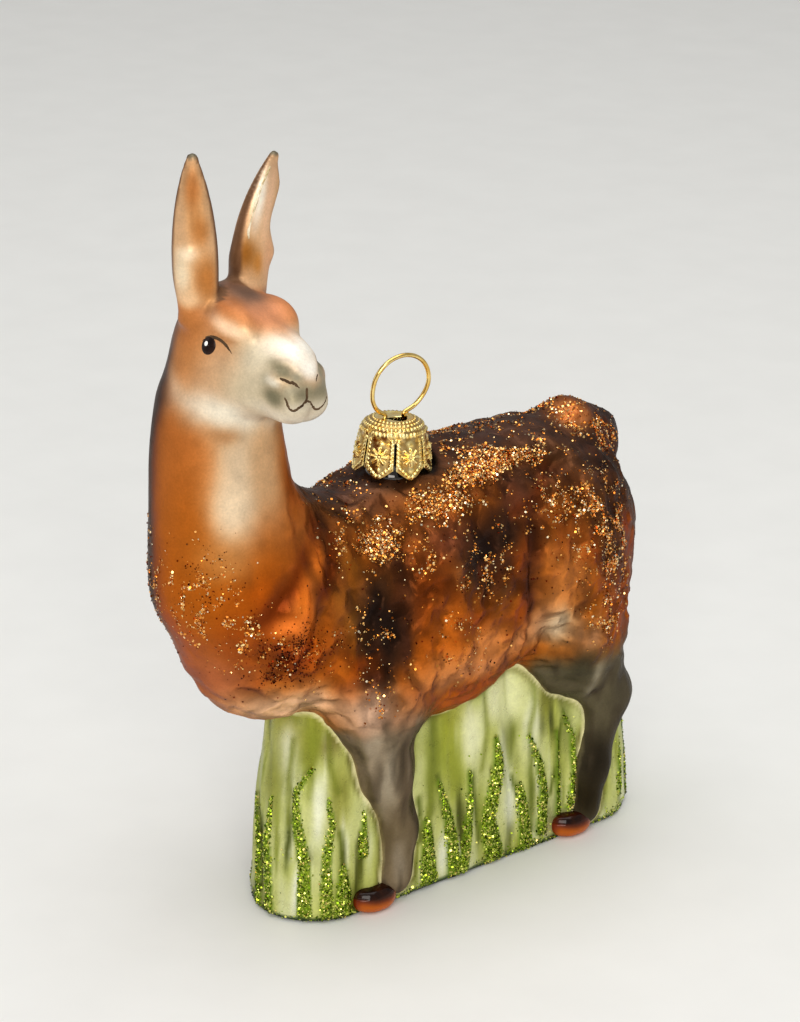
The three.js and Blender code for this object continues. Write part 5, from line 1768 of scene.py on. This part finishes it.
@dataclass
class FacePaint:
    """Eyes, lids, nostrils and mouth, laid on the skin with a fine brush, and a painted highlight along the
    ear crease.
    """

    form: LlamaForm
    skin: Surface
    eye: Point = (5.1, 7.2, 1.25)
    eye_reach: tuple[float, float] = (1.3, 1.15)
    glint: Point = (4.75, 7.2, 1.35)
    glint_reach: tuple[float, float] = (0.5, 0.42)

    def on_head(self, places: tuple[Point, ...], side: int) -> Array:
        """Head places in the model's frame, mirrored where side is -1."""
        return self.form.from_head(np.array(places) * np.array([1, side, 1]))

    def brush(self, line: tuple, side: int = 1) -> tuple[Array, list]:
        """Brush line that swells to its width and thins to its ends."""
        width, start, end, steps, corners = line
        t = np.linspace(0, 1, steps)
        swell = np.minimum(start + t * 4, 1) * np.minimum(end + (1 - t) * 3, 1)
        places = rounded_line(np.array(corners) * np.array([1, side, 1]), steps)
        return self.skin.stroke(self.form.from_head(places), width / 2 * swell, 0.05)

    def build_eyes(self) -> None:
        """Dark eyes with a white dot each."""
        up = self.form.axes[2]
        for name, side in (("right", 1), ("left", -1)):
            centre, spot = self.on_head((self.eye, self.glint), side)
            pupil = self.skin.dome(centre, up, self.eye_reach, 0.26)
            points, faces = joined([pupil, self.brush(EYE_CORNER, side)])
            make_piece(f"eye_{name}_enamel", points, faces, EYE_ENAMEL, "eye_enamel", (f"eye_{name}",))
            points, faces = self.skin.dome(spot, up, self.glint_reach, 0.36, rings=5, sides=18)
            make_piece(f"eye_{name}_glint", points, faces, WHITE_ENAMEL, "white_enamel")

    def build_lines(self) -> None:
        """Lids, nostrils, split lip and mouth."""
        lines = [self.brush(LID), self.brush(LID, -1), *(self.brush(line) for line in MUZZLE_LINES)]
        make_piece("face_lines", *joined(lines), LINE_ENAMEL, "eye_enamel")

    def build_ear_crease_highlight(self) -> None:
        """Painted highlight down the left ear's seam."""
        steps = 40
        line = self.form.from_blade(self.form.left_ear, rounded_line(EAR_SEAM, steps))
        half_width = 0.16 + 0.05 * np.sin(17 * np.linspace(0, 1, steps))
        points, faces = self.skin.stroke(line, half_width, 0.1)
        make_piece("ear_crease_highlight", points, faces, CREAM_HIGHLIGHT_ENAMEL, "white_enamel")


# ---- glitter
RUST_DRIFTS = drifts(
    (12, -35.5, 46, 3.4, 5, 3.4, 1.6), (11, -37, 42, 3.4, 5, 2.4, 0.8), (6.5, -45.5, 58, 4, 4, 5, 0.25),
)
COPPER_DRIFTS = drifts(
    (5, -47.6, 54.6, 8, 5, 6, 0.75), (10, -43, 47.5, 5, 6, 4.2, 0.55),
    (12.4, -33, 45.2, 4, 5, 2.4, 0.55), (12.4, -29, 42, 4, 4, 3.4, 0.3),
    (9.6, -19.4, 57, 3.6, 3.4, 3.4, 1.6), (12.6, -15.6, 54, 3.6, 4.4, 3, 0.7),
    (7.4, -23.5, 60, 4, 4, 3.6, 0.7), (10.4, -12.5, 58.4, 4, 6, 4.2, 0.7),
    (7.6, 4, 63, 3, 7.5, 1.5, 2.4), (9.4, -4, 60.8, 4, 7, 3.4, 1.1), (4, -14, 62.4, 6, 9, 3, 0.35),
    (2, 5, 65.5, 6, 12, 3, 0.5), (5, 1.6, 64.5, 4, 5, 2.6, 0.7), (8.5, -10, 61, 4, 5, 3, 0.6),
    (14.2, -21.9, 46.6, 4, 4.2, 9, 0.42), (14.6, -20.6, 36.6, 4, 2.6, 3.4, 0.6),
    (15, -3.6, 52, 4, 4.6, 5.6, 0.7), (15.6, -9, 40.6, 4, 4.6, 3.6, 0.9),
    (12, 10.5, 57.4, 5, 5, 5, 0.9), (13.4, 17.5, 53, 5, 6, 7, 1.1), (14.6, 19.6, 44, 5, 5, 6, 1.1),
    (15.4, 18.4, 37, 4, 3, 4, 0.6), (3, 21.5, 65.8, 4.4, 5, 3, 1.3), (5, 27, 61.5, 3.6, 3.6, 3.6, 1),
)


@dataclass
class Glitter:
    """Cut flakes glued on a skin: hexagons of mixed size and tilt."""

    name: str
    film: GlitterFilm
    slot: str
    skin: Surface
    count: int
    # smallest and largest radius in millimetres, and how far the flakes lean
    small: float
    large: float
    tilt: float
    seed: int

    def build(self, density: Array) -> None:
        """Scatters the flakes.

        Args:
            density: How thickly they lie on each face of the skin.
        """
        rng = np.random.default_rng(self.seed)
        skin = self.skin
        weight = skin.areas * np.maximum(density, 0)
        chosen = np.searchsorted(np.cumsum(weight) / weight.sum(), rng.random(self.count))
        u, v = rng.random((2, self.count, 1))
        a, b, c, d = (skin.points[skin.faces[chosen, n]] for n in range(4))
        spot = (a * (1 - u) + b * u) * (1 - v) + (d * (1 - u) + c * u) * v
        out = skin.normals[chosen]
        lean = out + self.tilt * rng.normal(size=(self.count, 3))
        lean /= size_of(lean)[:, None]
        lean *= np.where((lean * out).sum(-1) < 0, -1, 1)[:, None]
        first = np.cross(lean, rng.normal(size=(self.count, 3)))
        first /= size_of(first)[:, None]
        second = np.cross(lean, first)
        radius = self.small + (self.large - self.small) * rng.random(self.count) ** 2.2
        edge = np.sqrt(unit(1 - (lean * out).sum(-1) ** 2))
        spot = spot + out * (0.03 + 0.6 * radius * edge)[:, None]
        hexagon = [spot + (first * cos + second * sin) * radius[:, None] for cos, sin in circle(6)]
        points = np.stack(hexagon, 1).reshape(-1, 3)
        faces = np.arange(6 * self.count).reshape(-1, 6)
        piece = make_piece(self.name, points, faces, self.film, self.slot, smooth=False)
        give_number(piece, "chance", np.repeat(rng.random(self.count), 6))


def copper_density(form: LlamaForm, skin: Surface) -> Array:
    """How thickly copper flakes lie on each face of the llama."""
    p = skin.centres
    y, z = p[:, 1], p[:, 2]
    amount = added(np.zeros(len(p)), COPPER_DRIFTS, mirrored(p))
    amount += 0.06 * ramp(z, 50, 58) * ramp(y, -32, -24)
    bent = p + 0.5 * grain(p, (0.9, 0.9, 0.9), 205)[:, None]
    strings = ramp(np.abs(grain(bent, (1.5, 1.6, 1.9), 201)), 0.26, 0.04)
    clumps = patchy(folds(p, (2.6, 2.8, 3.2), 203), 1, 0.3)
    clear = ramp(form.seat(p), 0.6, 2.0) * ramp(z, 30, 33) * ramp(z, 76, 66)
    return amount * (0.03 + 2.6 * strings * clumps + 0.7 * patchy(amount, 1, -1)) * clear


def rust_density(skin: Surface) -> Array:
    """How thickly dark red flakes lie: low on the chest and thinly on the flank."""
    q = mirrored(skin.centres)
    thin = 0.02 * ramp(q[:, 2], 32, 36) * ramp(q[:, 2], 59, 54)
    return added(thin, RUST_DRIFTS, q) * (0.1 + patchy(folds(q, (1.6, 1.6, 1.8), 221)))


def green_density(grass: GrassBlock, form: LlamaForm, skin: Surface) -> Array:
    """How thickly green flakes lie on each face of the grass: on the blades and along its foot."""
    p = skin.centres
    around, z = grass.around(p), p[:, 2]
    rim = patchy(grain(np.stack([around, z, 0 * z], -1), (4.0, 3.0, 1.0), 211), 1, 0.25)
    amount = ramp(grass.blade_cover(p), 0.02, 0.2) + 0.5 * rim * ramp(z, 1.9, 0.9) * ramp(z, 0.05, 0.3)
    return (amount + 0.004 * ramp(z, 24, 8)) * ramp(form.body(p), 0.1, 0.5) * ramp(z, 0.0, 0.2)


# ---- cap, glass neck and loop
@dataclass
class CapFrame:
    """Where the cap stands: the middle of its skirt's edge and its lean toward the tail."""

    foot: Point = LlamaForm.seat_foot
    lean: float = LlamaForm.seat_lean

    def place(self, p: Array) -> Array:
        """Points made about the cap's own axis, moved to where it stands."""
        return turned(p, -self.lean, 1, 2) + np.array(self.foot)


@dataclass
class GlassNeck:
    """Short tube of the blown glass that the cap grips, a little wider where it leaves the figure."""

    frame: CapFrame
    wall: tuple[tuple[float, float], ...] = (
        (2.85, -1.6), (4.1, -1.6), (3.75, -0.9), (3.6, 0.4), (3.6, 2.5), (3.6, 4.9), (3.5, 5.12),
        (3.25, 5.2), (2.95, 5.1), (2.85, 4.8), (2.85, 2.0),
    )
    sides: int = 72

    def build(self) -> None:
        """Revolves the tube's wall."""
        size = len(self.wall)
        points = [(r * cos, r * sin, h) for cos, sin in circle(self.sides) for r, h in self.wall]
        faces = []
        for n in range(self.sides):
            a, b = n * size, (n + 1) % self.sides * size
            faces += [[a + m, b + m, b + (m + 1) % size, a + (m + 1) % size] for m in range(size)]
        placed = self.frame.place(np.array(points))
        make_piece("glass_neck_tube", placed, faces, BARE_GLASS, "bare_glass", ("glass_neck",))


@dataclass
class CrownCap:
    """Pressed brass crown: seven beaded petals with a rosette each, a beaded shoulder and a lanced top."""

    frame: CapFrame
    petals: int = 7
    columns: int = 52
    first_slit: float = -35.3
    notch: float = 1.5
    drop: float = 0.8
    tip: float = 0.12
    slit_top: float = 5.2
    slit_columns: int = 2
    sheet: float = 0.26
    bead: float = 0.29
    pitch: float = 0.56
    turn: float = -7.0
    # radius and height of the sheet, from the skirt's edge to the middle of the top
    profile: tuple[tuple[float, float], ...] = (
        (5.50, -0.8), (5.22, 1.4), (5.02, 2.8), (4.84, 4.2), (4.66, 5.1), (4.46, 5.7), (4.08, 6.25),
        (3.5, 6.62), (2.95, 6.86), (2.55, 6.95), (2.3, 6.84), (2.0, 6.8), (0.0, 6.84),
    )
    skirt_height: float = 5.1
    skirt_points: int = 5
    rows_skirt: int = 66
    rows_top: int = 44
    # rings of beads on the shoulder: place up the profile, count, size and rise
    rings: tuple[tuple[float, int, float, float], ...] = (
        (6.25, 49, 0.30, 0.2), (7.1, 42, 0.27, 0.17), (7.85, 35, 0.22, 0.13), (8.5, 32, 0.2, 0.13),
    )
    top_edge: float = 8.6
    petal_half: float = 2.15
    rosette_height: float = 2.35

    def outline(self, s: Array) -> Array:
        """Height of a petal's lower edge at s, from -1 to 1 across it."""
        return self.notch * unit((np.abs(s) - self.tip) / (1 - self.tip)) ** 1.15 - self.drop

    def beads(self, flat: Array, line: tuple[Point, ...]) -> Array:
        """Rise of a row of beads along a line on the unrolled sheet, from 0 to 1."""
        gap, run = along_line(flat, line)
        beside = run - np.round(run / self.pitch) * self.pitch
        return np.sqrt(unit(1 - (gap / self.bead) ** 2 - (beside / self.bead) ** 2))

    def rosette(self, x: Array, h: Array, reach: float = 1.3) -> Array:
        """Rise of an eight-petalled flower with a dimpled button, from 0 to 1."""
        away = np.hypot(x, h)
        apart = np.abs(np.sin(4 * np.arctan2(h, x))) * away
        half = 0.17 + 0.36 * unit(away / reach)
        leaf = np.sqrt(unit(1 - (apart / 4 / half * 2.6) ** 2))
        petal = leaf * ramp(away, 1.12 * reach, 0.9 * reach) * ramp(away, 0.12 * reach, 0.36 * reach)
        return np.maximum(petal, 0.5 * np.sqrt(unit(1 - (away / (0.16 * reach)) ** 2)))

    def stamping(self, x: Array, h: Array, width: Array, arc: Array, angle: Array, radius: Array) -> Array:
        """Rise of everything stamped on the sheet.

        Args:
            x: Place across the petal.
            h: Height.
            width: Half width of the petal there.
            arc: Place up the profile.
            angle: Place round the cap.
            radius: Distance from the cap's axis.

        Returns:
            Millimetres outward.
        """
        flat, low, half = np.stack([x, h, 0 * x], -1), 0.42 - self.drop, 0.84 * self.petal_half
        right = ((half * 0.94, 4.6, 0), (half, self.notch - self.drop + 0.3, 0), (0.26, low, 0))
        left = tuple((-a, b, c) for a, b, c in right)
        stamps = [0.2 * self.beads(flat, left), 0.2 * self.beads(flat, right)]
        stamps.append(0.18 * self.beads(flat, (left[-1], right[-1])))
        stamps.append(0.12 * np.exp(-(((np.abs(x) - width * 0.9) / 0.13) ** 2)) * (h < 4.7))
        stamps.append(0.34 * self.rosette(x, h - self.rosette_height))
        for height, size in ((0.55, 0.3), (4.2, 0.42)):
            stamps.append(0.12 * np.exp(-((np.hypot(x, h - height) / size) ** 2)))
        for at, count, size, tall in self.rings:
            beside = angle / (2 * math.pi) * count
            beside = (beside - np.round(beside)) * 2 * math.pi * radius / count
            stamps.append(tall * np.sqrt(unit(1 - ((arc - at) / size) ** 2 - (beside / size) ** 2)))
        return np.max(stamps, axis=0)

    def build(self) -> None:
        """Presses the sheet: skirt, slits, beads, rosettes, shoulder and lanced top."""
        total, count = self.petals * self.columns, self.rows_skirt + self.rows_top
        s = (np.arange(total) % self.columns) / self.columns * 2 - 1
        out, rise = np.array(self.profile).T
        run = np.concatenate([[0], np.cumsum(np.hypot(np.diff(out), np.diff(rise)))])
        skirt = slice(self.skirt_points)
        shoulder = float(np.interp(self.skirt_height, rise[skirt], run[skirt]))
        low = np.interp(self.outline(s), rise[skirt], run[skirt])
        up = np.linspace(0, 1, self.rows_skirt, endpoint=False)[:, None]
        top = np.linspace(shoulder, run[-1] - 0.25, self.rows_top)[:, None]
        arc = np.concatenate([low + (shoulder - low) * up, np.tile(top, total)]).ravel()
        across = np.tile(s, count)
        angle = np.tile(2 * math.pi * np.arange(total) / total, count)
        radius, height = np.interp(arc, run, out), np.interp(arc, run, rise)
        width = radius * math.pi / self.petals
        lift = self.stamping(across * width, height, width, arc, angle, radius)
        flutes = 0.1 * np.cos(angle * self.petals * 2 + math.pi) * ramp(arc, 5.2, 5.8) * ramp(arc, 7, 6.4)
        bulge = 0.16 * np.cos(across * math.pi / 2) * ramp(arc, 6.0, 4.0)
        facing = np.gradient(np.stack([out, rise], -1), run, axis=0)
        r = radius + np.interp(arc, run, facing[:, 1]) * (lift + flutes + bulge)
        h = height + np.interp(arc, run, -facing[:, 0]) * (lift + flutes)
        angle = angle + math.radians(self.first_slit)
        points = np.stack([r * np.cos(angle), r * np.sin(angle), h], -1)
        faces = self.kept(points, arc)
        points = np.concatenate([points, [[0.0, 0.0, float(rise[-1])]]])
        piece = make_piece(
            "crown_cap", self.frame.place(points), faces, CROWN_BRASS, "gold_crown", ("cap_crown",),
            Body.CAP,
        )
        give_number(piece, "crest", np.append(unit(lift / 0.2) + 0.35 * (arc > 8.8), 1.0))
        wall = piece.modifiers.new("sheet", "SOLIDIFY")
        wall.thickness, wall.offset = self.sheet * MM, -1.0

    def kept(self, points: Array, arc: Array) -> list:
        """Faces that are left after the slits and the lanced openings are cut.

        Args:
            points: Vertices about the cap's axis.
            arc: Place up the profile of each.

        Returns:
            The faces.
        """
        x, y, _ = turned(points, -self.turn, 0, 1).T
        opening = (x > -0.15) & (x < 2.15 * unit(1 - ((y - 0.3) / 1.9) ** 2))
        small = (np.abs(y + 1.66) < 0.6) & (x > -0.1) & (x < 0.5)
        gone = (opening | small) & (arc > self.top_edge)
        total, count = self.petals * self.columns, self.rows_skirt + self.rows_top
        faces = []
        for face in sheet_faces(count, total, flip=True):
            side = (face[0] + self.slit_columns) % self.columns
            slit = side < 2 * self.slit_columns and arc[face[0]] < self.slit_top
            if not slit and not gone[face].all():
                faces.append(face)
        last = (count - 1) * total
        faces += [
            [last + c, last + (c + 1) % total, count * total] for c in range(total) if not gone[last + c]
        ]
        return faces


@dataclass
class HangingLoop:
    """Spring wire: an open ring whose two prongs spread inside the glass neck."""

    frame: CapFrame
    radius: float = 4.6
    wire: float = 0.65
    centre_height: float = 4.46
    centre_shift: float = 0.48
    lean: float = 7.5
    turn: float = -7.0
    feet: float = 1.6
    prong_length: float = 5.6
    prong_spread: float = 2.0
    cap_height: float = 7.2
    sides: int = 14
    stretches: int = 14
    steps: int = 260

    def centre_line(self) -> Array:
        """The wire's centre line, its heights above the cap's top."""
        opening = math.asin(self.feet / self.radius)
        tilt = math.radians(self.lean)
        points = [(0, -self.prong_spread, -self.prong_length), (0, -self.feet, -1.4), (0, -self.feet, -0.4)]
        for n in range(self.stretches + 1):
            angle = opening + (2 * math.pi - 2 * opening) * n / self.stretches
            lift = self.centre_height - self.radius * math.cos(angle)
            shift = self.centre_shift * min(max(lift / self.centre_height, 0), 1)
            y = shift - self.radius * math.sin(angle)
            points.append((math.sin(tilt) * max(lift, 0), y, math.cos(tilt) * lift if lift > 0 else lift))
        points += [(0, self.feet, -0.4), (0, self.feet, -1.4), (0, self.prong_spread, -self.prong_length)]
        return rounded_line(np.array(points), self.steps)

    def build(self) -> None:
        """Sweeps the round wire along its line."""
        line = self.centre_line()
        way = np.gradient(line, axis=0)
        way /= size_of(way)[:, None]
        first = np.array([1.0, 0.0, 0.0])
        points = []
        for at, along in zip(line, way):
            first = first - along * (first @ along)
            first /= np.linalg.norm(first)
            second = np.cross(along, first)
            points += [at + (first * cos + second * sin) * self.wire / 2 for cos, sin in circle(self.sides)]
        ends = list(range(self.sides))
        faces = sheet_faces(self.steps, self.sides, flip=True)
        faces += [ends[::-1], [(self.steps - 1) * self.sides + n for n in ends]]
        placed = turned(np.array(points), self.turn, 0, 1) + np.array([0, 0, self.cap_height])
        make_piece(
            "hanging_loop_wire", self.frame.place(placed), faces, WIRE_BRASS, "gold_wire",
            ("hanger_loop",), Body.CAP,
        )


# ---- studio
@dataclass
class Studio:
    """Pale floor, soft lights and the camera; distances in millimetres."""

    eye: Point = (344.72, -289.254, 227.0)
    forward: Point = (-0.72281, 0.59077, -0.35853)
    right: Point = (0.63284, 0.77428, 0.0)
    up: Point = (-0.27760, 0.22689, 0.93352)
    lens: float = 117.30
    sensor: float = 36.0
    clip: tuple[float, float] = (0.01, 50.0)
    floor_half: float = 3000.0
    floor_lines: int = 9
    aim: Point = (0, 0, 55)
    # each soft box: name, middle, width and height, watts and colour
    boxes: tuple[tuple[str, Point, tuple[float, float], float, str], ...] = (
        ("overhead", (60, -40, 900), (900, 900), 5.0, "#FFFFFF"),
        ("key", (720, -560, 480), (460, 460), 4.4, "#FFFCF5"),
        ("side", (-620, -760, 420), (420, 620), 0.8, "#F6F8FF"),
    )
    room_tint: str = "#F1F0EE"
    room_strength: float = 0.48

    def build_camera(self) -> None:
        """Puts the camera at its place."""
        camera = bpy.data.objects.new("camera", bpy.data.cameras.new("camera"))
        camera.data.lens, camera.data.sensor_width = self.lens, self.sensor
        camera.data.clip_start, camera.data.clip_end = self.clip
        turn = Matrix((self.right, self.up, tuple(-c for c in self.forward))).transposed()
        camera.matrix_world = Matrix.Translation(Vector(self.eye) * MM) @ turn.to_4x4()
        bpy.context.scene.collection.objects.link(camera)
        bpy.context.scene.camera = camera

    def build_floor(self) -> None:
        """Lays the pale floor."""
        steps = np.linspace(-self.floor_half, self.floor_half, self.floor_lines)
        points = np.array([(x, y, 0.0) for y in steps for x in steps])
        faces = sheet_faces(self.floor_lines, self.floor_lines, ring=False, flip=True)
        make_mesh("floor", points, faces, MattPaper("matt paper sheet"))

    def build_lights(self) -> None:
        """Soft boxes overhead, beside the camera and to the left, in a bright room."""
        for name, place, size, power, tint in self.boxes:
            lamp = bpy.data.lights.new(name, "AREA")
            lamp.shape = "RECTANGLE"
            lamp.size, lamp.size_y = size[0] * MM, size[1] * MM
            lamp.energy, lamp.color = power, paint(tint)[:3]
            light = bpy.data.objects.new(name, lamp)
            at = Vector(place) * MM
            facing = (Vector(self.aim) * MM - at).to_track_quat("-Z", "Y")
            light.matrix_world = Matrix.Translation(at) @ facing.to_matrix().to_4x4()
            bpy.context.scene.collection.objects.link(light)
        world = bpy.data.worlds.new("room")
        bpy.context.scene.world = world
        world.use_nodes = True
        sky = world.node_tree.nodes["Background"].inputs
        sky["Color"].default_value = paint(self.room_tint)
        sky["Strength"].default_value = self.room_strength

    def build(self) -> None:
        """Sets the whole studio."""
        self.build_camera()
        self.build_floor()
        self.build_lights()
        bpy.context.scene.view_settings.view_transform = "Standard"


def main() -> None:
    """Builds the ornament piece by piece."""
    logging.basicConfig(level=logging.INFO, format="%(name)s: %(message)s")
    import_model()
    Studio().build()
    form, grass = LlamaForm(), GrassBlock()
    figure = GlassFigure(form, grass)
    llama_skin = figure.build_llama()
    grass_skin = figure.build_grass()
    Hooves().build()
    face = FacePaint(form, llama_skin)
    face.build_eyes()
    face.build_lines()
    face.build_ear_crease_highlight()
    copper = Glitter(
        "copper_glitter", COPPER_FILM, "copper_glitter", llama_skin,
        count=32000, small=0.055, large=0.2, tilt=0.42, seed=5,
    )
    copper.build(copper_density(form, llama_skin))
    green = Glitter(
        "green_glitter", GREEN_FILM, "green_glitter", grass_skin,
        count=27000, small=0.085, large=0.2, tilt=0.38, seed=6,
    )
    green.build(green_density(grass, form, grass_skin))
    rust = Glitter(
        "rust_glitter", RUST_FILM, "copper_glitter", llama_skin,
        count=2600, small=0.06, large=0.17, tilt=0.3, seed=7,
    )
    rust.build(rust_density(llama_skin))
    cap = CapFrame()
    for fitting in (GlassNeck(cap), CrownCap(cap), HangingLoop(cap)):
        fitting.build()


if __name__ == "__main__":
    main()
